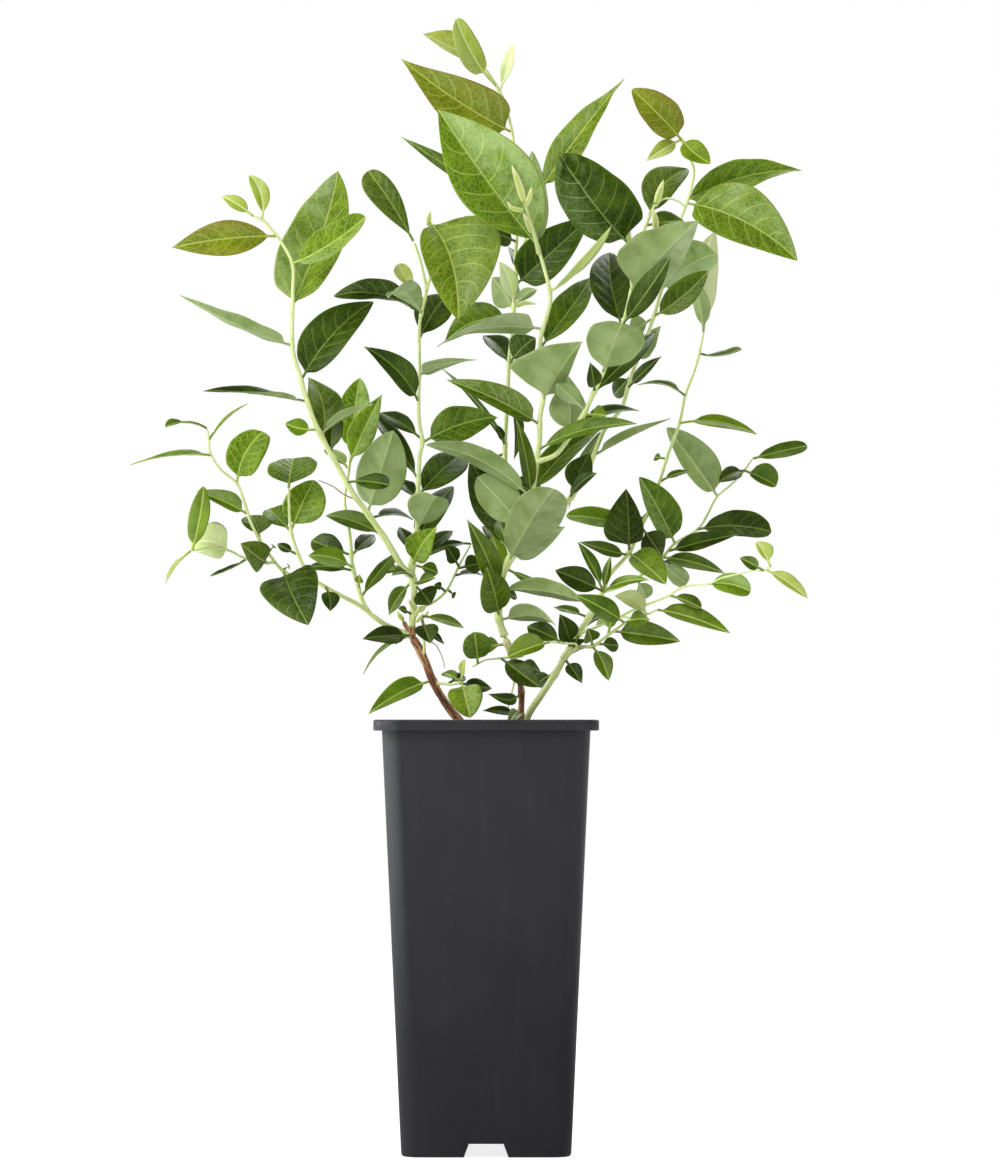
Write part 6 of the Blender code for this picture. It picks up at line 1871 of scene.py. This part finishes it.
@dataclass(frozen=True)
class BudFinish:
    """Pale yellowish green scales with a cream edge."""

    name: str = "bud_scales"
    green: Colour = (168, 184, 92)
    cream: Colour = (216, 218, 166)

    def build(self) -> Material:
        """Cream streaks that run towards the point."""
        g = Graph(self.name)
        _, around, along, _ = g.attribute("stem")
        streak = g.math("ADD", g.math("SINE", g.scaled(around, 3.0)), g.noise(g.place(), 500.0))
        tone = g.mix(g.ramp(streak, 0.2, 1.3), self.green, self.cream)
        g.glowing(0.2, (0.6, 1.0, 0.2), 0.001)
        return g.surface(Base_Color=g.mix(g.ramp(along, 0.6, 1.0), tone, self.cream),
                         Roughness=0.5, Specular_IOR_Level=0.3)


class SprigSculptor:
    """Makes buds, stalks and threads as thin spindles along their middle lines."""

    SIDES = 10
    ROWS = 22
    STEP = 0.0006

    def __init__(self, arrangement: Arrangement, skin: Material) -> None:
        """Keep the stems' routes and the finish of green stalks."""
        self.arrangement = arrangement
        self.finishes = {Scrap.BUD: BudFinish().build(), Scrap.STALK: skin,
                         Scrap.THREAD: DryFinish().build()}

    def build(self) -> List[Object]:
        """One piece for each kind."""
        made = []
        for kind in Scrap:
            surface = Surface()
            for sprig in SPRIGS:
                if sprig.kind == kind:
                    self._add(surface, sprig)
            item = surface.make(f"sprigs_{kind.name.lower()}", [self.finishes[kind]])
            made.append(item)
        return made

    def _add(self, surface: Surface, sprig: Sprig) -> None:
        """Sweep one sprig from a point inside its stem.

        A bud's radius is sin(pi s^0.8)^0.7 of its largest; others taper slightly.
        """
        x, z = sprig.points[0]
        arrangement = self.arrangement
        base, _ = nearest_seen(arrangement.routes[sprig.stem], arrangement.radii[sprig.stem], x, z)
        depth = base[1] / MM
        lean = np.linspace(sprig.out, sprig.lean, len(sprig.points))
        points = [in_space(px, depth - forward, pz)
                  for (px, pz), forward in zip(sprig.points, lean)]
        route = resampled(smooth_route(points, self.STEP), self.ROWS)
        s = np.linspace(0.0, 1.0, self.ROWS)
        if sprig.kind == Scrap.BUD:
            radius = np.sin(math.pi * np.clip(0.12 + 0.88 * s, 0, 1) ** 0.8) ** 0.7
            radius = np.maximum(radius, 0.06)
        else:
            radius = 1.0 - 0.4 * s
            radius = radius * np.sqrt(np.clip((1.02 - s) * 12, 0, 1))
        angle = np.linspace(0, 2 * math.pi, self.SIDES, endpoint=False)
        ways = round_ways(angle, *cross_frames(route))
        rings = route[:, None] + ways * (radius * sprig.thick / 2 * MM)[:, None, None]
        surface.add_tube(rings, {"stem": layered(rings.shape[:2], angle, s[:, None], 0.0)})


@dataclass(frozen=True)
class SoilFinish:
    """Damp peat and bark: dark crumbs with a few straw-coloured fibres."""

    name: str = "potting_mix"
    dark: Colour = (44, 31, 24)
    brown: Colour = (92, 66, 48)
    straw: Colour = (150, 120, 86)

    def build(self) -> Material:
        """Fine crumbs and straw-coloured flecks over wider damp patches."""
        g = Graph(self.name)
        place = g.place()
        patch = g.ramp(g.noise(place, 60.0, 4.0), 0.35, 0.7)
        crumb = g.noise(place, 420.0, 5.0, 0.65)
        tone = g.mix(g.ramp(crumb, 0.35, 0.68), self.dark, self.brown)
        tone = g.mix(g.scaled(g.ramp(crumb, 0.66, 0.74), 0.8), tone, self.straw)
        tone = g.mix(g.scaled(patch, 0.4), tone, self.dark)
        return g.surface(Base_Color=tone, Roughness=g.ramp(patch, 0.0, 1.0, 0.96, 0.82),
                         Normal=g.bump(crumb, 0.9, 0.0012))


@dataclass
class Soil:
    """Block of potting mix, in metres, with a crumbly top, fitted to the pot."""

    pot: Pot
    top: float = 0.1996
    gap: float = 0.0003
    crumb: float = 0.0011
    lift: float = 0.0008
    reach: float = 0.036
    lines: int = 81
    finish: SoilFinish = SoilFinish()

    def build(self) -> List[Object]:
        """Make the block: a fine crumbly top over plain sides and a plain base.

        The top's height is top - crumb + crumb * noise, level at its border.
        """
        inset = self.pot.wall + self.gap
        square = RoundedSquare(np.linspace(-self.reach, self.reach, self.lines))
        i, j = square.border()
        corner = self.pot.corner - inset
        side = self.pot.side(self.top, inset)
        high = square.grid(side, corner)
        flat = np.dstack([high, np.zeros(high.shape[:2])])
        noise = wave_noise(flat, 55.0, 3, 4) + 0.5 * np.abs(wave_noise(flat, 320.0, 4, 2))
        border = smoothstep(0.0, 0.002, side / 2 - np.abs(high)).min(-1)
        rough = self.crumb * np.clip(noise, -1, 1) * border
        cover = np.dstack([high, self.top - self.crumb + rough])
        low = square.grid(self.pot.side(inset, inset), corner)
        base = np.dstack([low, inset + self.lift + self.pot.arch(low, inset)])
        index = np.arange(square.size ** 2).reshape(square.size, square.size)
        above = index + index.size
        parts = (cells(index), band(index[i, j], above[i, j]), cells(above)[..., TURNED])
        surface = Surface()
        surface.add_quads(np.concatenate([base.reshape(-1, 3), cover.reshape(-1, 3)]),
                          np.concatenate([part.reshape(-1, 4) for part in parts]))
        soil = surface.make("soil_block", [self.finish.build()], smooth_angle=50.0)
        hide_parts("potting_soil")
        return [soil]


LEAF_FINISHES: Dict[Tone, LeafFinish] = {
    Tone.BRIGHT: LeafFinish("leaf_bright", top=(102, 126, 4), deep=(79, 103, 0),
                            vein=(158, 176, 76), under=(142, 162, 88), edge=(146, 163, 66),
                            net=0.3, painted_sheen_colour=(150, 170, 106)),
    Tone.MID: LeafFinish("leaf_mid", top=(81, 102, 3), deep=(56, 77, 0),
                         vein=(130, 150, 60), under=(134, 152, 88), edge=(120, 140, 54),
                         gloss=0.38, net=0.2, painted_sheen_colour=(114, 133, 70)),
    Tone.DARK: LeafFinish("leaf_dark", top=(56, 74, 0), deep=(34, 49, 0),
                          vein=(98, 118, 40), under=(126, 144, 84), edge=(92, 112, 38),
                          gloss=0.37, net=0.17, glow=0.06, painted_sheen_colour=(80, 100, 44), shine=0.12),
    Tone.LIME: LeafFinish("leaf_lime", top=(159, 172, 74), deep=(137, 153, 46),
                          vein=(190, 201, 130), under=(176, 190, 120), edge=(192, 200, 130),
                          net=0.13, glow=0.0, painted_sheen_colour=(186, 197, 130)),
    Tone.PALE: LeafFinish("leaf_pale", top=(198, 209, 147), deep=(182, 195, 127),
                          vein=(209, 218, 172), under=(201, 211, 160), edge=(209, 214, 172),
                          net=0.1, glow=0.0, painted_sheen_colour=(207, 214, 172)),
    Tone.OLIVE: LeafFinish("leaf_olive", top=(114, 136, 0), deep=(86, 106, 0),
                           vein=(162, 180, 70), under=(146, 160, 80), edge=(126, 124, 40),
                           blush=0.05, net=0.26, painted_sheen_colour=(138, 164, 50), shine=0.14),
    Tone.YOUNG: LeafFinish("leaf_young", top=(124, 135, 12), deep=(98, 111, 0),
                           vein=(164, 172, 74), under=(148, 154, 78), edge=(126, 82, 42),
                           blush=0.54, edge_width=0.1, net=0.24, painted_sheen_colour=(128, 142, 56)),
    Tone.UNDER: LeafFinish("leaf_under", top=(82, 106, 14), deep=(58, 82, 0),
                           vein=(172, 186, 132), under=(139, 155, 101), edge=(172, 186, 134),
                           gloss=0.4, net=0.16, sheen_under=(178, 189, 152)),
}


class Bush:
    """Canes, shoots and leaves of the blueberry."""

    def __init__(self) -> None:
        """Arrange the leaves on the stems."""
        self.arrangement = Arrangement(STEMS, LEAVES)
        self.leaves = self.arrangement.settle()
        self.solid = self.arrangement.solid_leaves()
        self.stems = StemSculptor(self.arrangement, STEMS)
        self.finishes = {tone: finish.build() for tone, finish in LEAF_FINISHES.items()}
        self.skin = StemFinish("stem_skin").build()
        LOG.info("%d leaves, %d of them large, %d crowded", len(self.leaves), len(self.solid),
                 len(self.arrangement.stuck))

    def build(self) -> List[Object]:
        """Make every shoot and leaf."""
        made: List[Object] = []
        for shoot, members in SHOOTS.items():
            made.append(self._stems(shoot, members))
            made.extend(self._small_leaves(shoot, members))
        sculptor = LeafSculptor(LeafSculptor.LARGE)
        for leaf in self.solid:
            surface = Surface()
            sculptor.add(surface, leaf)
            item = surface.make(f"blade_{leaf.name[5:]}", [self.finishes[leaf.tone]])
            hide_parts(leaf.name)
            made.append(item)
        return made + SprigSculptor(self.arrangement, self.skin).build()

    def _stems(self, shoot: str, members: Sequence[str]) -> Object:
        """All stems that have grown together into one shoot."""
        surface = Surface()
        for name in members:
            self.stems.add(surface, name)
        item = surface.make(f"stem_{shoot}", [self.skin])
        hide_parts(shoot)
        return item

    def _small_leaves(self, shoot: str, members: Sequence[str]) -> List[Object]:
        """The small leaves of a shoot, in one piece with a finish for each tone."""
        large = {leaf.name for leaf in self.solid}
        small = [leaf for leaf in self.leaves if leaf.stem in members and leaf.name not in large]
        if not small:
            return []
        tones = sorted({leaf.tone for leaf in small}, key=lambda tone: tone.value)
        surface = Surface()
        sculptor = LeafSculptor(LeafSculptor.SMALL)
        for leaf in small:
            sculptor.add(surface, leaf, tones.index(leaf.tone))
        item = surface.make(f"foliage_{shoot}", [self.finishes[tone] for tone in tones])
        return [item]


@dataclass(frozen=True)
class SoftBox:
    """Light of a size in metres and a power, aimed at a height over the pot's middle."""

    name: str
    place: Tuple[float, float, float]
    size: Tuple[float, float]
    power: float
    aim: float


class Studio:
    """Pale floor, soft lights and the camera."""

    LIGHTS = (SoftBox("key", (-1.2, -1.5, 1.7), (1.1, 1.1), 40.0, 0.33),
              SoftBox("strip", (-1.6, 0.0, 0.75), (0.5, 1.1), 16.0, 0.2),
              SoftBox("back", (0.5, 1.3, 1.7), (1.2, 1.2), 26.0, 0.33))
    LENS, SENSOR = 156.2, 36.0               # mm
    AIM = np.array([0.0067, 0.0, 0.2788])    # what the camera looks at, in metres
    FAR = 200.0

    def build(self) -> None:
        """Set up everything that isn't part of the object."""
        self._floor()
        self._world()
        for box in self.LIGHTS:
            self._light(box)
        self._camera()

    @staticmethod
    def _floor() -> None:
        """Wide pale floor that glows a little, like a lit table."""
        angle = np.linspace(0, 2 * math.pi, 64, endpoint=False)
        radius = np.array([0.001, 0.5, 2.0, 8.0, 60.0])[:, None]
        points = layered((5, 64), radius * np.cos(angle), radius * np.sin(angle), 0.0)
        index = np.arange(5 * 64).reshape(5, 64)
        surface = Surface()
        surface.add_quads(points.reshape(-1, 3),
                          band(index[:-1], index[1:]).reshape(-1, 4)[:, TURNED])
        g = Graph("floor_paint")
        paint = g.surface(Base_Color=(0.35, 0.35, 0.35, 1.0), Roughness=0.8,
                          Emission_Color=(1.0, 1.0, 1.0, 1.0), Emission_Strength=0.82,
                          Specular_IOR_Level=0.1)
        surface.make("floor", [paint])

    @staticmethod
    def _world() -> None:
        """White walls near the horizon under a dimmer ceiling."""
        world = bpy.data.worlds.new("white_room")
        bpy.context.scene.world = world
        world.use_nodes = True
        tree = world.node_tree
        sky = tree.nodes["Background"]
        parts = tree.nodes.new("ShaderNodeSeparateXYZ")
        tree.links.new(tree.nodes.new("ShaderNodeTexCoord").outputs["Generated"], parts.inputs[0])
        fade = tree.nodes.new("ShaderNodeMapRange")
        fade.interpolation_type = "SMOOTHSTEP"
        for socket, value in zip(fade.inputs[1:5], (0.12, 0.5, 1.0, 0.4)):
            socket.default_value = value
        tree.links.new(parts.outputs[2], fade.inputs[0])
        sky.inputs["Color"].default_value = (1.0, 1.0, 1.0, 1.0)
        tree.links.new(fade.outputs[0], sky.inputs["Strength"])

    @staticmethod
    def _light(box: SoftBox) -> None:
        """Soft box as an area light."""
        data = bpy.data.lights.new(box.name, "AREA")
        data.shape = "RECTANGLE"
        data.size, data.size_y = box.size
        data.energy = box.power
        item = bpy.data.objects.new(box.name, data)
        bpy.context.scene.collection.objects.link(item)
        item.location = box.place
        item.rotation_euler = Studio._facing(np.array([0.0, 0.0, box.aim]) - np.array(box.place))

    @staticmethod
    def _facing(aim: Array) -> Tuple[float, float, float]:
        """Rotation that turns -Z along a direction and keeps the top upward."""
        flat = math.hypot(aim[0], aim[1])
        return (math.pi / 2 + math.atan2(aim[2], flat), 0.0, math.atan2(-aim[0], aim[1]))

    def _camera(self) -> None:
        """Camera in front of the pot, a little above its rim."""
        data = bpy.data.cameras.new("camera")
        data.lens, data.sensor_width, data.clip_end = self.LENS, self.SENSOR, self.FAR
        item = bpy.data.objects.new("camera", data)
        bpy.context.scene.collection.objects.link(item)
        item.location = EYE
        item.rotation_euler = self._facing(self.AIM - EYE)
        bpy.context.scene.camera = item


def main() -> None:
    """Build the pot, the soil and the bush around the frame."""
    logging.basicConfig(level=logging.INFO, format="%(name)s: %(message)s")
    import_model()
    pot = Pot()
    pieces = pot.build() + Soil(pot).build() + Bush().build()
    for piece in pieces:
        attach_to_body(piece, BODY)
        LOG.info("%s: %d faces", piece.name, len(piece.data.polygons))
    Studio().build()
    bpy.context.scene.view_settings.view_transform = "Standard"


if __name__ == "__main__":
    main()
